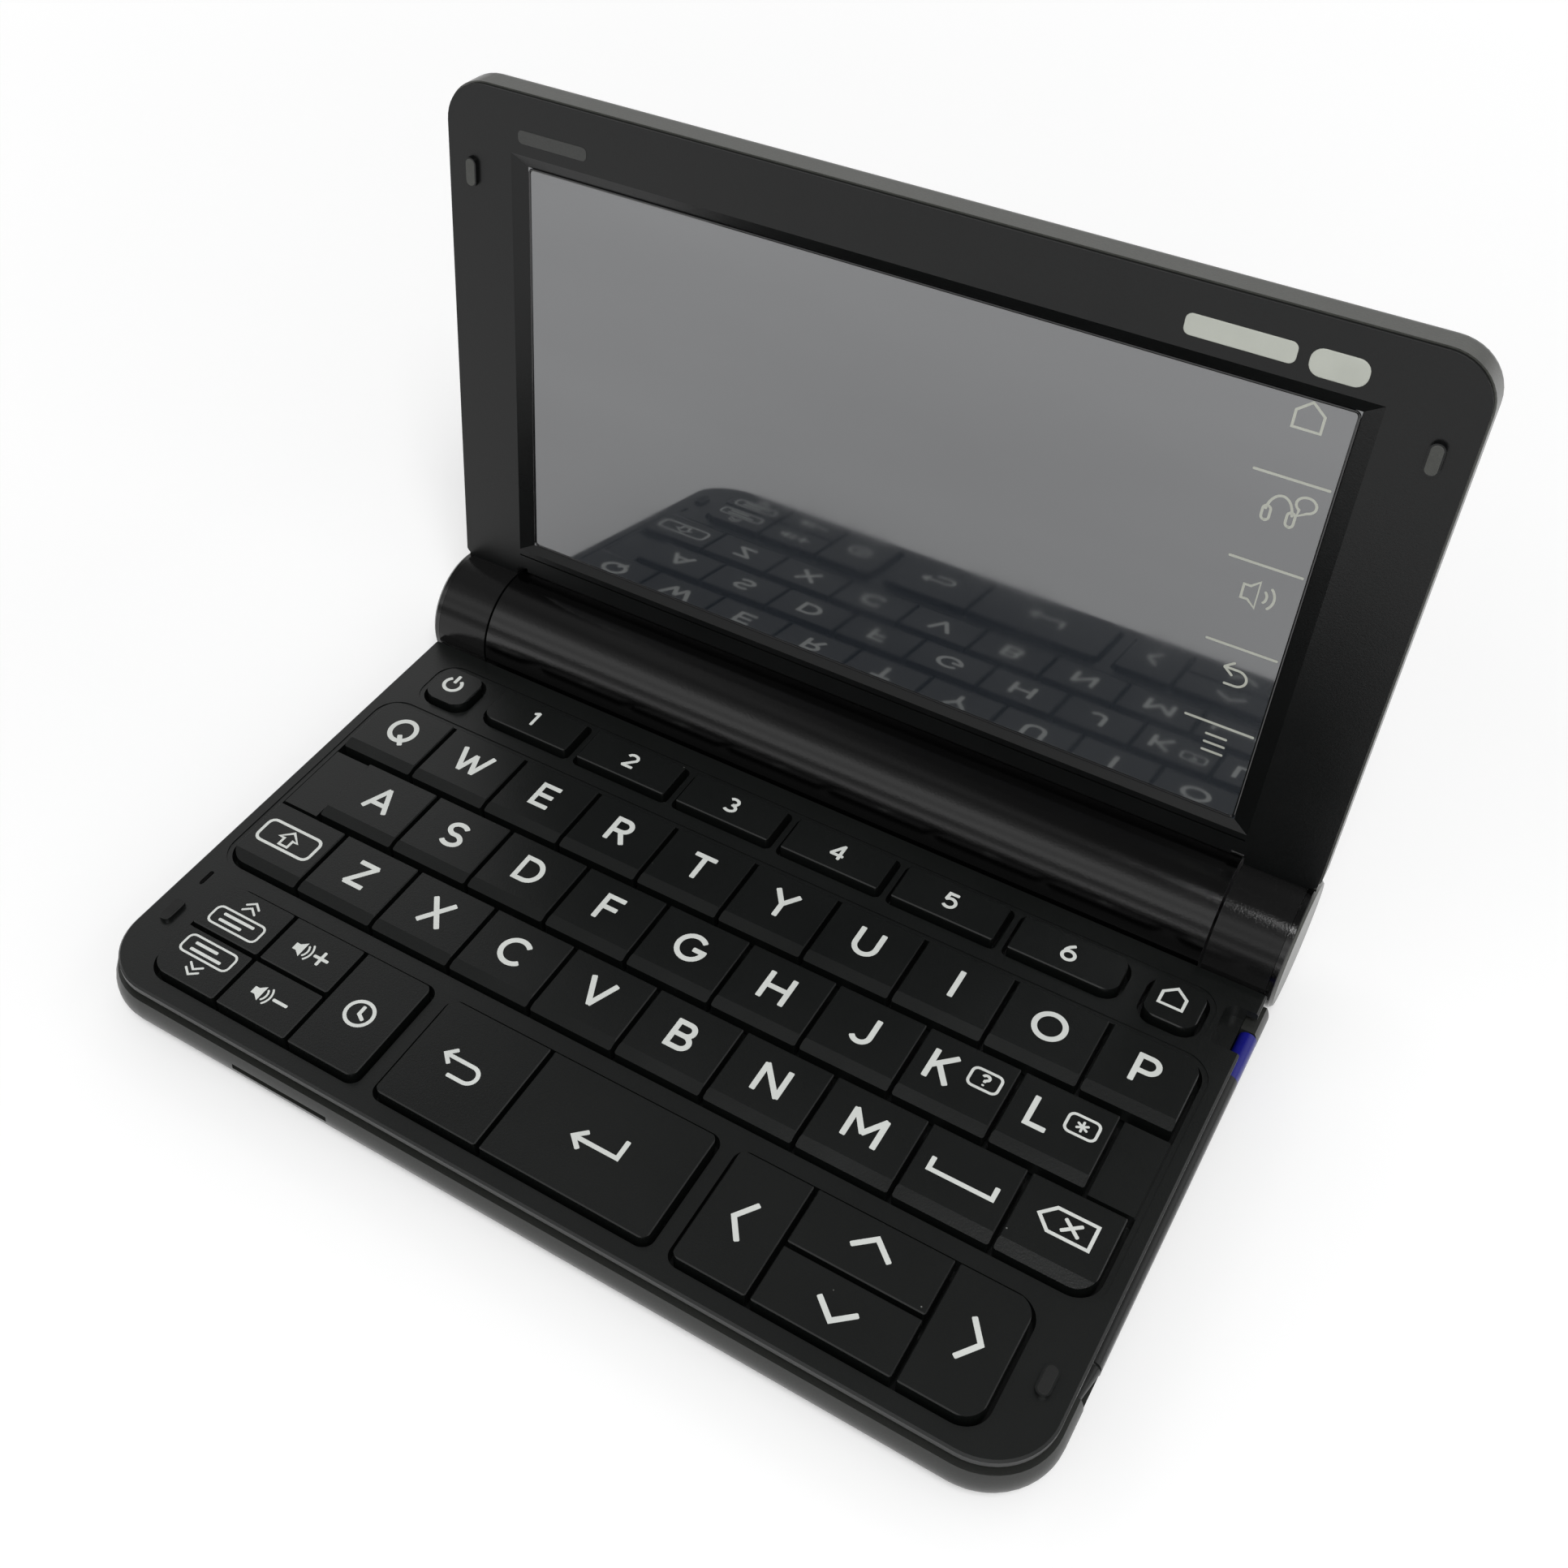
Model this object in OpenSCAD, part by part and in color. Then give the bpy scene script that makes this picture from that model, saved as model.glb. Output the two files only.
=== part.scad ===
// Electronic dictionary: a clamshell with a full keyboard in its base, a touch
// screen in its lid and two cells in the barrel of its hinge.
// The base stands on its feet at z = 0. X runs along the hinge, -Y to the user.

/* [Base] */
// Overall width, across the rounded sides of the base
case_w = 148; // [147:0.5:156]
// From the hinge axis to the front of the base
case_d = 94.1; // [93.8:0.1:101]
// Height of the deck above the table
deck_z = 9.3; // [9.1:0.1:9.9]
// Corner radius of the base at its widest line
corner_r = 10.5; // [9:0.1:11.5]
// Radius of the rounded side of the lower case
side_r = 4.2; // [4:0.1:4.4]
// How far the rim of the deck lies inside the widest line
rim_inset = 1.1; // [0.8:0.1:1.4]
// Thickness of the rim of the deck
rim_t = 1.2; // [1:0.1:1.4]
// Chamfer on the rim of the deck
rim_chamfer = 0.3; // [0.1:0.05:0.5]
// Depth of the dark groove under the rim, from the widest line
groove_in = 2.7; // [2.6:0.05:3]
// Floor thickness of the lower case
floor_t = 1.4; // [1:0.1:1.6]
// Height of the feet
foot_h = 0.5; // [0.4:0.1:0.6]
// Radius of the feet
foot_r = 3.5; // [2.5:0.5:5]
// Height of the rubber bumpers on the deck and on the lid
bumper_h = 0.6; // [0.3:0.05:0.65]
// Length of the bumpers
bumper_l = 4.5; // [3:0.5:6]
// Width of the bumpers
bumper_w = 2; // [1.5:0.1:2.4]
// Radius of the earphone socket in the left side
jack_r = 1.75; // [1.7:0.01:1.8]
// Width of the card slot in the front
slot_w = 16.8; // [14:0.2:20]
// Height of the card slot
slot_h = 1; // [0.8:0.1:1.3]

/* [Hinge barrel] */
// Outer radius of the barrel
barrel_r = 10; // [9.9:0.05:10.2]
// Height of the hinge axis above the table
axis_z = 10.5; // [10.45:0.05:11]
// Length of the part of the barrel at each end that turns with the lid
hinge_end = 10.7; // [9.5:0.1:12]
// Gap between the barrel's turning ends and its fixed middle
seam_gap = 0.4; // [0.3:0.05:0.6]
// Radius of the hinge pins
pin_r = 2.2; // [1.8:0.1:2.6]
// Wall between the end of a pin and the battery bay
pin_wall = 1.5; // [1:0.1:2.5]
// Wall between the other end of a pin and the end of its drum
pin_end_wall = 2.85; // [1.5:0.05:4]
// Radial clearance of a pin that turns in its bore
running_gap = 0.05; // [0.02:0.01:0.1]
// Gap between a piece and the moving piece beside it
moving_gap = 0.35; // [0.3:0.05:0.4]
// Clearance between fixed pieces that seat in each other
seat_gap = 0.05; // [0.03:0.01:0.08]
// Angle at which the lid stands open
lid_open = 93.8; // [0:0.2:150]

/* [Batteries] */
// Radius of a cell
cell_r = 7.1; // [6.8:0.05:7.15]
// Length of a cell with its nub
cell_l = 50.4; // [49:0.1:51]
// Clearance round the cells
cell_gap = 0.2; // [0.1:0.05:0.3]
// Length of the battery cover
cover_l = 96; // [80:2:104]
// Wall of the battery cover
cover_t = 1.8; // [1.4:0.1:2.2]
// Gap round the battery cover
cover_gap = 0.15; // [0.1:0.05:0.3]

/* [Lid] */
// How far the lid lies inside the widest line of the base at each side
lid_inset = 0.3; // [0:0.1:0.8]
// How far the closed lid lies inside the widest line at the front
lid_front_inset = 0.8; // [0.2:0.1:1.6]
// Thickness of the lid
lid_t = 6; // [5.8:0.1:7]
// Radius of the lid's corners beside the barrel
near_corner_r = 1.8; // [1:0.1:3]
// Gap between the barrel's fixed middle and the lip of the lid
lip_gap = 0.85; // [0.4:0.05:1.2]
// Width of the notch at each end of that lip
notch_w = 1.9; // [1:0.1:2.5]
// Depth of that notch
notch_d = 0.9; // [0.4:0.1:1.2]
// Chamfer on the lip
lip_chamfer = 0.3; // [0.1:0.05:0.4]
// Gap between the closed lid and the tops of the keys
lid_gap = 0.3; // [0.28:0.02:0.4]
// Corner radius at the far edge of the lid
lid_corner_r = 6.8; // [5:0.1:8]
// Radius of the lid's back edge
back_edge_r = 2; // [1:0.1:2.4]
// Wall of the lid's back cover
shell_t = 1.6; // [1.4:0.1:1.8]
// Thickness of the front frame where its edge shows
bezel_t = 0.65; // [0.5:0.05:0.8]
// How far the front frame lies inside the back cover's outline
bezel_inset = 0.25; // [0.1:0.05:0.5]

/* [Screen] */
// From the side of the lid to the glass that shows
screen_side = 13.75; // [12:0.05:18]
// From the far edge of the lid to the glass that shows
screen_far = 10.95; // [10:0.05:15]
// From the hinge axis to the lower edge of the glass that shows
screen_s = 16.55; // [16.3:0.05:18]
// Width of the slope at the left and right of the glass
slope_w = 2.4; // [1.5:0.1:3]
// Width of the slope above the glass
slope_far = 1.9; // [1.2:0.1:2.4]
// Width of the slope below the glass
slope_near = 1.2; // [0.8:0.1:1.5]
// Distance of the groove below the screen from the slope
trim_gap = 1.1; // [0.8:0.1:1.6]
// Depth of the glass below the front frame
recess_d = 0.9; // [0.6:0.05:1.2]
// Thickness of the touch glass
glass_t = 0.9; // [0.7:0.1:1.1]
// How far the glass reaches under the frame
glass_lap = 1.4; // [0.8:0.1:2]
// Thickness of the display module behind the glass
lcd_t = 2.2; // [1.8:0.1:2.3]

/* [Keys] */
// From the widest line of the base to the letter block at each side
block_side = 4.5; // [4.3:0.05:5.2]
// How much is trimmed off the outermost letter keys
end_trim = 0.5; // [0:0.05:0.8]
// Sideways gap between letter keys
gap_x = 0.7; // [0.5:0.05:1]
// Gap between the rows
gap_y = 1.5; // [1:0.1:1.8]
// Height of the keys above the deck
key_rise = 1.15; // [0.95:0.05:1.2]
// Length of the slope at the front of a letter key
slope_l = 1.8; // [1.2:0.1:2.4]
// Drop of that slope
slope_drop = 0.55; // [0.3:0.05:0.7]
// Chamfer on the top edges of the keys
key_chamfer = 0.16; // [0.05:0.01:0.3]
// Width of the shallow step in the deck round the keys
step_w = 0.8; // [0.5:0.1:1]
// Depth of that step
step_d = 0.15; // [0.1:0.05:0.3]
// Outer corner radius of the letter block and of the key groups
group_r = 3; // [2:0.1:3.6]
// Radius of the corners of neighbouring key groups that face each other
inner_r = 1.2; // [0.6:0.1:2]
// Gap between the keys of a group
group_gap = 0.7; // [0.5:0.05:0.9]
// Gap between the keys and the deck round them
well_gap = 0.7; // [0.5:0.05:0.8]
// Distance from the hinge axis to the back of the letter block
letter_s = 26.9; // [26.7:0.1:27.6]
// Distance from the hinge axis to the back of the row of shortcut keys
shortcut_s = 15.2; // [15:0.1:15.7]
// Depth of the shortcut keys
shortcut_d = 7; // [6:0.1:7.1]
// Gap between one shortcut key and the next
shortcut_gap = 2.3; // [1.8:0.1:3]
// Width of the square keys at the ends of that row
square_w = 7.7; // [7:0.1:8]
// How far the square keys lie inside the ends of the letter block
square_in = 3.25; // [2.6:0.05:4.4]
// Gap between a square key and the shortcut key beside it
square_gap = 3.9; // [2.5:0.05:4.6]
// Depth of the key groups in front of the letters
group_d = 18; // [17:0.1:18.3]
// Gap between the letter block and those key groups
group_row_gap = 4.25; // [3.8:0.05:4.8]
// Gap between one key group and the next
group_space = 3.6; // [2.6:0.05:4.5]
// How far the key groups lie inside the ends of the letter block
group_in = 4.85; // [4:0.05:6]
// From the front of the base to the key groups
group_front = 4.6; // [4:0.1:5.5]
// Travel of a key
travel = 0.8; // [0.5:0.05:0.85]
// Width of a key's stem
stem_w = 4; // [3:0.2:4.6]
// Depth of a key's stem
stem_d = 2.6; // [2:0.2:3]
// Clearance of a stem in its guide
guide_gap = 0.12; // [0.1:0.02:0.2]

/* [Stylus] */
// Width of the stylus
pen_w = 2.6; // [2.2:0.1:2.6]
// Height of the stylus
pen_h = 3.5; // [3:0.1:3.5]
// Length of the stylus
pen_l = 62; // [50:1:66]
// From the hinge axis to the back end of the stylus
pen_s = 16; // [15.5:0.1:18]
// Length of the finger recess in the deck beside the stylus
recess_l = 7.9; // [6:0.1:8.6]
// Width of the finger recess, from the rim
recess_w = 4.4; // [3.5:0.1:5]

/* [Hidden] */
$fn = 64;
eps = 0.01;

// Heights in the base
key_z = deck_z + key_rise;
slab_z = deck_z - 3.7;
guide_t = 1;
cap_z = slab_z + guide_t + travel + 0.2;
lap_z = deck_z - rim_t - 1.2;
hook_t = 0.5;
hook_z = slab_z - seat_gap - hook_t;
board_z = foot_h + floor_t + 0.5;
board_t = 0.8;
mat_t = 0.4;
mat_z = board_z + board_t;
dome_z = hook_z - travel - 0.1;

// Plan of the base
rear_s = barrel_r + moving_gap;
slab_w = case_w - 2 * groove_in;
slab_s = case_d - groove_in;
slab_r = corner_r - groove_in;
cavity_w = slab_w - 4;
cavity_s = slab_s - 2;

// Barrel
lid_w = case_w - 2 * lid_inset;
lid_len = case_d - lid_front_inset;
barrel_x = lid_w / 2 - hinge_end;
fixed_x = barrel_x - seam_gap;
bay_x = cell_l + 3;
cap_t = 1.3;
drum_x = lid_w / 2 - cap_t - seat_gap;
pin_x0 = bay_x + pin_wall;
pin_x1 = drum_x - pin_end_wall;

// Lid, drawn closed with the hinge axis as origin
front_z = key_z + lid_gap - axis_z;
back_z = front_z + lid_t;
split_z = front_z + bezel_t;
glass_z = front_z + recess_d;
lcd_z = glass_z + glass_t;
lid_in_w = lid_w - 2 * shell_t;
lid_in_s = lid_len - shell_t;
screen_w = lid_w - 2 * screen_side;
screen_h = lid_len - screen_s - screen_far;

// The origin lies midway between the front of the base and the back of the lid
lid_back_y = (lid_len - back_edge_r) * sin(lid_open - 90)
    + (back_z - back_edge_r) * cos(lid_open - 90) + back_edge_r;
origin_y = (max(barrel_r, lid_back_y) - case_d) / 2;

// Letter block: ten columns and three rows share the width and the depth
block_w = case_w - 2 * block_side;
pitch_x = (block_w + gap_x + 2 * end_trim) / 10;
block_d = case_d - letter_s - group_row_gap - group_d - group_front;
pitch_y = (block_d + gap_y) / 3;
cap_d = pitch_y - gap_y;
function row_x(row, k) = (k + row / 2 - 5) * pitch_x;
function row_y(row) = -letter_s - row * pitch_y;

// A key is [name, left, right, back, front, style, corner radii], where the
// radii run back-left, back-right, front-right, front-left
function letter_key(name, row, k, radii) = [
    name,
    max(row_x(row, k) + gap_x / 2, -block_w / 2),
    min(row_x(row, k + 1) - gap_x / 2, block_w / 2),
    row_y(row), row_y(row) - cap_d, "letter", radii];

g = group_r;
i = inner_r;
s = 0.35;
plain = [s, s, s, s];
ROW_1 = ["q", "w", "e", "r", "t", "y", "u", "i", "o", "p"];
ROW_2 = ["a", "s", "d", "f", "g", "h", "j", "k", "l"];
ROW_3 = ["shift", "z", "x", "c", "v", "b", "n", "m", "space", "delete"];

LETTER_KEYS = concat(
    [for (k = [0 : 9]) letter_key(ROW_1[k], 0, k,
        [k == 0 ? group_r : s, k == 9 ? group_r : s, s, s])],
    [for (k = [0 : 8]) letter_key(ROW_2[k], 1, k, plain)],
    [for (k = [0 : 9]) letter_key(ROW_3[k], 2, k - 1,
        [s, s, k == 9 ? group_r : s, k == 0 ? group_r : s])]);

// Row of shortcut keys, with a square key at each end
square_x = block_w / 2 - square_in - square_w / 2;
shortcut_pitch = (2 * square_x - square_w - 2 * square_gap + shortcut_gap) / 6;
shortcut_w = shortcut_pitch - shortcut_gap;
SHORTCUT_KEYS = concat(
    [for (k = [0 : 5]) [
        str("shortcut_", k + 1),
        (k - 2.5) * shortcut_pitch - shortcut_w / 2,
        (k - 2.5) * shortcut_pitch + shortcut_w / 2,
        -shortcut_s, -shortcut_s - shortcut_d, "flat",
        [k == 0 ? 2.2 : s, k == 5 ? 2.2 : s, k == 5 ? 2.2 : s, k == 0 ? 2.2 : s]]],
    [for (s = [-1, 1]) [
        s < 0 ? "power" : "home",
        s * square_x - square_w / 2, s * square_x + square_w / 2,
        -shortcut_s - 0.1, -shortcut_s - shortcut_d - 0.7, "flat", [2.2, 2.2, 2.2, 2.2]]]);

// Groups of flat keys in front of the letters: their columns from the left
group_y = -letter_s - block_d - group_row_gap;
half_d = (group_d - group_gap) / 2;
function total(v, n) = n <= 0 ? 0 : v[n - 1] + total(v, n - 1);
function span(v) = total(v, len(v)) + (len(v) - 1) * group_gap;
NAV_COLS = [12.1, 12.3, 11.5];
ARROW_COLS = [10.7, 19.1, 10.4];
back_w = 16.7;
groups_w = block_w - 2 * group_in;
enter_w = groups_w - span(NAV_COLS) - span(ARROW_COLS) - 2 * group_space
    - back_w - group_gap;
ACT_COLS = [back_w, enter_w];
nav_x = -groups_w / 2;
act_x = nav_x + span(NAV_COLS) + group_space;
arrow_x = act_x + span(ACT_COLS) + group_space;
GROUP_BLOCKS = [[nav_x, nav_x + span(NAV_COLS), [g, i, i, g]],
    [act_x, act_x + span(ACT_COLS), [i, i, i, i]],
    [arrow_x, arrow_x + span(ARROW_COLS), [i, g, g, i]]];
function col_x(x, v, n) = x + total(v, n) + n * group_gap;

// One key of a group: which half of the depth it takes is 0 (all), 1 (back) or 2 (front)
function group_key(name, x, v, n, half, radii) = [
    name, col_x(x, v, n), col_x(x, v, n) + v[n],
    half == 2 ? group_y - half_d - group_gap : group_y,
    half == 1 ? group_y - half_d : group_y - group_d, "flat", radii];

GROUP_KEYS = [
    group_key("previous", nav_x, NAV_COLS, 0, 1, [g, s, s, s]),
    group_key("volume_up", nav_x, NAV_COLS, 1, 1, plain),
    group_key("next", nav_x, NAV_COLS, 0, 2, [s, s, s, g]),
    group_key("volume_down", nav_x, NAV_COLS, 1, 2, plain),
    group_key("history", nav_x, NAV_COLS, 2, 0, [s, i, i, s]),
    group_key("back", act_x, ACT_COLS, 0, 0, [i, s, s, i]),
    group_key("enter", act_x, ACT_COLS, 1, 0, [s, i, i, s]),
    group_key("left", arrow_x, ARROW_COLS, 0, 0, [i, s, s, i]),
    group_key("up", arrow_x, ARROW_COLS, 1, 1, plain),
    group_key("down", arrow_x, ARROW_COLS, 1, 2, plain),
    group_key("right", arrow_x, ARROW_COLS, 2, 0, [s, g, g, s])];

KEYS = concat(SHORTCUT_KEYS, LETTER_KEYS, GROUP_KEYS);

// ---- Helpers ----

// Flat outline from corner [x0, y0] to [x1, y1] with its own radius at each corner,
// in the order back-left, back-right, front-right, front-left
module outline(x0, x1, y0, y1, radii) {
    corners = [[x0, y1, 1, -1], [x1, y1, -1, -1], [x1, y0, -1, 1], [x0, y0, 1, 1]];
    difference() {
        translate([x0, y0])
            square([x1 - x0, y1 - y0]);
        for (i = [0 : 3])
            corner_cut(corners[i], radii[i]);
    }
}

// What a round corner takes off a square one: c is the corner and the way inwards
module corner_cut(c, r) {
    difference() {
        translate([c[0] + (c[2] < 0 ? -r : -1), c[1] + (c[3] < 0 ? -r : -1)])
            square([r + 1, r + 1]);
        translate([c[0] + c[2] * r, c[1] + c[3] * r])
            circle(r = r);
    }
}

// A side profile swept along both sides and round the front of a plate.
// In the profile, x runs outwards from the corner's centre and y is height.
// The core fills the middle from z0 to z1.
module swept_plate(w, front, back, r, z0, z1) {
    cx = w / 2 - r;
    cy = -(front - r);
    for (m = [0, 1])
        mirror([m, 0, 0]) {
            translate([cx, cy, 0])
                rotate([0, 0, -90])
                    rotate_extrude(angle = 90)
                        children();
            translate([cx, -back, 0])
                rotate([90, 0, 0])
                    linear_extrude(-cy - back)
                        children();
        }
    translate([cx, cy, 0])
        rotate([0, 0, -90])
            rotate([90, 0, 0])
                linear_extrude(2 * cx)
                    children();
    translate([-cx, cy, z0])
        cube([2 * cx, -cy - back, z1 - z0]);
}

// Plain plate with two round corners at the front
module plate(w, front, back, r, z0, z1) {
    translate([0, 0, z0])
        linear_extrude(z1 - z0)
            outline(-w / 2, w / 2, -front, -back, [0, 0, r, r]);
}

// Cylinder along X from x0 to x1, about the hinge axis of the base
module barrel(x0, x1, r) {
    translate([x0, 0, axis_z])
        rotate([0, 90, 0])
            cylinder(h = x1 - x0, r = r);
}

// Box given by its lower and upper corner
module box(a, b) {
    translate(a)
        cube(b - a);
}

// Sector of a disc between two angles, each side of the middle under 90 degrees
module sector(r, a0, a1) {
    am = (a0 + a1) / 2;
    k = r / cos((a1 - a0) / 4);
    intersection() {
        circle(r = r);
        polygon([[0, 0], 2 * k * [cos(a0), sin(a0)], 2 * k * [cos(am), sin(am)],
            2 * k * [cos(a1), sin(a1)]]);
    }
}

// Rubber bumper, a flat oval along Y standing up from z = 0
module bumper() {
    r = bumper_w / 2;
    linear_extrude(bumper_h)
        outline(-r, r, -bumper_l / 2, bumper_l / 2, [r, r, r, r]);
}

// ---- Keys ----

// Stem of a key at its middle, with the hooks that hold it under the guide
module key_stem(key, grow, z0, z1) {
    x = (key[1] + key[2]) / 2;
    y = (key[3] + key[4]) / 2;
    box([x - stem_w / 2 - grow, y - stem_d / 2 - grow, z0],
        [x + stem_w / 2 + grow, y + stem_d / 2 + grow, z1]);
}

// Side view of a key's cap: y runs from the front at 0 to the back
module cap_side(d, top, letter) {
    c = key_chamfer;
    front = letter
        ? [[0, top - slope_drop], [slope_l, top]]
        : [[0, top - c], [c, top]];
    polygon(concat([[d, cap_z], [0, cap_z]], front, [[d - c, top], [d, top - c]]));
}

// One key: a cap with chamfered edges, a stem and two snap hooks
module key_cap(key) {
    w = key[2] - key[1];
    d = key[3] - key[4];
    letter = key[5] == "letter";
    top = key_z;
    c = key_chamfer;
    x = (key[1] + key[2]) / 2;
    y = (key[3] + key[4]) / 2;
    color(letter ? "#2b2c2e" : "#242628") {
        intersection() {
            translate([0, 0, cap_z])
                linear_extrude(top - cap_z)
                    outline(key[1], key[2], key[4], key[3], key[6]);
            translate([key[1], key[4], 0])
                rotate([90, 0, 90])
                    linear_extrude(w)
                        cap_side(d, top, letter);
            translate([key[1], key[3], 0])
                rotate([90, 0, 0])
                    linear_extrude(d)
                        polygon([[0, cap_z], [w, cap_z], [w, top - c], [w - c, top],
                            [c, top], [0, top - c]]);
        }
        key_stem(key, 0, hook_z, cap_z + eps);
        box([x - stem_w / 2 - 0.7, y - stem_d / 2, hook_z],
            [x + stem_w / 2 + 0.7, y + stem_d / 2, hook_z + hook_t]);
    }
}

// Outline of the well that a group of keys stands in
module well_outline(x0, x1, y0, y1, radii) {
    outline(x0 - well_gap, x1 + well_gap, y0 - well_gap, y1 + well_gap,
        [for (r = radii) r + well_gap]);
}

// The shallow step in the deck round the row of shortcut keys and the letter block
module deck_steps() {
    difference() {
        union() {
            well_outline(-square_x - square_w / 2 - step_w, square_x + square_w / 2 + step_w,
                -shortcut_s - shortcut_d - 0.7 - step_w, -shortcut_s + step_w, [g, g, g, g]);
            grown_block(step_w);
        }
        outline(-block_w / 2 - well_gap, block_w / 2 + well_gap, -letter_s - block_d,
            -letter_s, [g, g, g, g]);
    }
}

// The outline of the letter block's well, or a wider one
module grown_block(grow) {
    well_outline(-block_w / 2 - grow, block_w / 2 + grow, -letter_s - block_d - grow,
        -letter_s + grow, [for (i = [0 : 3]) g + grow]);
}

// The wells of all keys. The tiles beside the middle letter row belong to the deck.
module key_wells() {
    for (k = SHORTCUT_KEYS)
        well_outline(k[1], k[2], k[4], k[3], k[6]);
    difference() {
        grown_block(0);
        translate([row_x(1, 0) + gap_x / 2 - well_gap - block_w, row_y(1) - cap_d - 0.25])
            square([block_w, cap_d + 0.5]);
        translate([row_x(1, 9) - gap_x / 2 + well_gap, row_y(1) - cap_d - 0.25])
            square([block_w, cap_d + 0.5]);
    }
    for (b = GROUP_BLOCKS)
        well_outline(b[0], b[1], group_y - group_d, group_y, b[2]);
}

// ---- Base ----

// Finger recess in the edge of the deck, beside the back end of the stylus
module finger_recess() {
    edge = case_w / 2 - rim_inset;
    outline(edge - recess_w, edge + 2, -pen_s - recess_l + 1.8, -pen_s + 1.8,
        [1.8, 0, 0, 0.8]);
}

// Deck with its rim, the wells of the keys and the guides of their stems
module upper_case() {
    rim_w = case_w - 2 * rim_inset;
    rim_r = corner_r - rim_inset;
    c = rim_chamfer;
    color("#26282a") {
        difference() {
            union() {
                swept_plate(rim_w, case_d - rim_inset, rear_s, rim_r, deck_z - rim_t, deck_z)
                    polygon([[0, deck_z - rim_t], [rim_r, deck_z - rim_t],
                        [rim_r, deck_z - c], [rim_r - c, deck_z], [0, deck_z]]);
                plate(slab_w, slab_s, rear_s, slab_r, slab_z, deck_z - rim_t);
            }
            translate([0, 0, slab_z + guide_t])
                linear_extrude(5)
                    key_wells();
            for (k = KEYS)
                key_stem(k, guide_gap, slab_z - 1, slab_z + guide_t + 1);
            translate([0, 0, slab_z + guide_t + 0.4])
                linear_extrude(5)
                    finger_recess();
            translate([0, 0, deck_z - step_d])
                linear_extrude(1)
                    deck_steps();
            mic_slit();
            tile_grooves();
        }
        for (m = [0, 1])
            mirror([m, 0, 0])
                translate([bumper_x, -bumper_s, deck_z])
                    bumper();
    }
}

// Fine grooves at the outer edge of the blank tiles beside the middle row
module tile_grooves() {
    for (x = [-1, 1])
        box([x * tile_x - 0.12, row_y(1) - cap_d - 0.3, deck_z - 0.3],
            [x * tile_x + 0.12, row_y(1) + 0.3, deck_z + 1]);
}

// Slit over the microphone, left of the key groups
module mic_slit() {
    translate([-bumper_x - 0.2, group_y + 0.85, slab_z + 1.9])
        linear_extrude(5)
            outline(-0.35, 0.35, -2.8, 0, [0.35, 0.35, 0.35, 0.35]);
}

tile_x = block_w / 2 + well_gap - 0.12;
bumper_x = case_w / 2 - 4.7;
bumper_s = case_d - 14.4;

// Side view of the lower case's wall, outwards from the corner's centre
module side_profile() {
    cx = corner_r - side_r;
    intersection() {
        union() {
            translate([0, foot_h])
                square([cx, lap_z - foot_h]);
            translate([cx, foot_h + side_r])
                circle(r = side_r);
        }
        translate([0, foot_h])
            square([corner_r + 1, lap_z - foot_h]);
    }
}

// The part of the lower case that carries the cells, between the lid's hinge ends
module battery_barrel() {
    difference() {
        union() {
            barrel(-fixed_x, fixed_x, barrel_r);
            box([-fixed_x, -rear_s - 1, foot_h],
                [fixed_x, -barrel_r / 2, slab_z - seat_gap]);
        }
        barrel(-bay_x, bay_x, cell_r + cell_gap);
        cover_space(0);
        for (m = [0, 1])
            mirror([m, 0, 0])
                barrel(pin_x0 - 0.3, fixed_x + 1, pin_r + running_gap);
    }
    for (m = [0, 1])
        mirror([m, 0, 0])
            barrel(bay_x - 2.9, bay_x + eps, 2.5);
}

// Space that the battery cover fills: the lower back quarter of the barrel
module cover_space(gap) {
    l = cover_l / 2 - gap;
    da = gap / barrel_r * 180 / PI;
    translate([-l, 0, axis_z])
        rotate([90, 0, 90])
            linear_extrude(2 * l)
                difference() {
                    sector(barrel_r + (gap > 0 ? 0 : 1), -78 + da, 18 - da);
                    circle(r = cell_r + cell_gap - (gap > 0 ? 0 : 1)
                        + (gap > 0 ? barrel_r - cell_r - cell_gap - cover_t : 0));
                }
}

// Lower case: a tray with rounded sides, the battery barrel and the feet
module lower_case() {
    tray_s = rear_s;
    color("#303235") {
        difference() {
            union() {
                swept_plate(case_w, case_d, tray_s, corner_r, foot_h, lap_z)
                    side_profile();
                feet();
            }
            tray_space();
            stylus_channel();
            card_slot();
            earphone_socket();
        }
        board_posts();
        battery_barrel();
    }
}

// Room in the tray for the board, the mat and the slab under the deck
module tray_space() {
    plate(slab_w + 2 * seat_gap, slab_s + seat_gap, rear_s - 1, slab_r + seat_gap,
        slab_z, deck_z);
    plate(cavity_w, cavity_s, rear_s + 2, slab_r, foot_h + floor_t, slab_z + eps);
}

// Open channel along the right side, where the stylus lies
module stylus_channel() {
    z = pen_z() - pen_h / 2 - seat_gap;
    box([slab_w / 2 - eps, -pen_s - pen_l - 0.3, z], [case_w / 2 + 1, -pen_s + 0.3, deck_z]);
}

module card_slot() {
    box([slot_x - slot_w / 2, -case_d - 1, slot_z], [slot_x + slot_w / 2, -cavity_s + 1,
        slot_z + slot_h]);
}

slot_x = -37.5;
slot_z = slab_z - 0.3 - slot_h;
jack_s = 46;
jack_z = slab_z - 0.1 - jack_r;
jack_l = 8;

module earphone_socket() {
    translate([-case_w / 2 - 1, -jack_s, jack_z])
        rotate([0, 90, 0])
            cylinder(h = 8, r = jack_r);
}

// Four round feet let into the underside
module feet() {
    for (x = [-1, 1], y = [-case_d + 11, -rear_s - 9])
        translate([x * (case_w / 2 - 13), y, 0])
            cylinder(h = foot_h + 0.1, r = foot_r);
}

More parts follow.
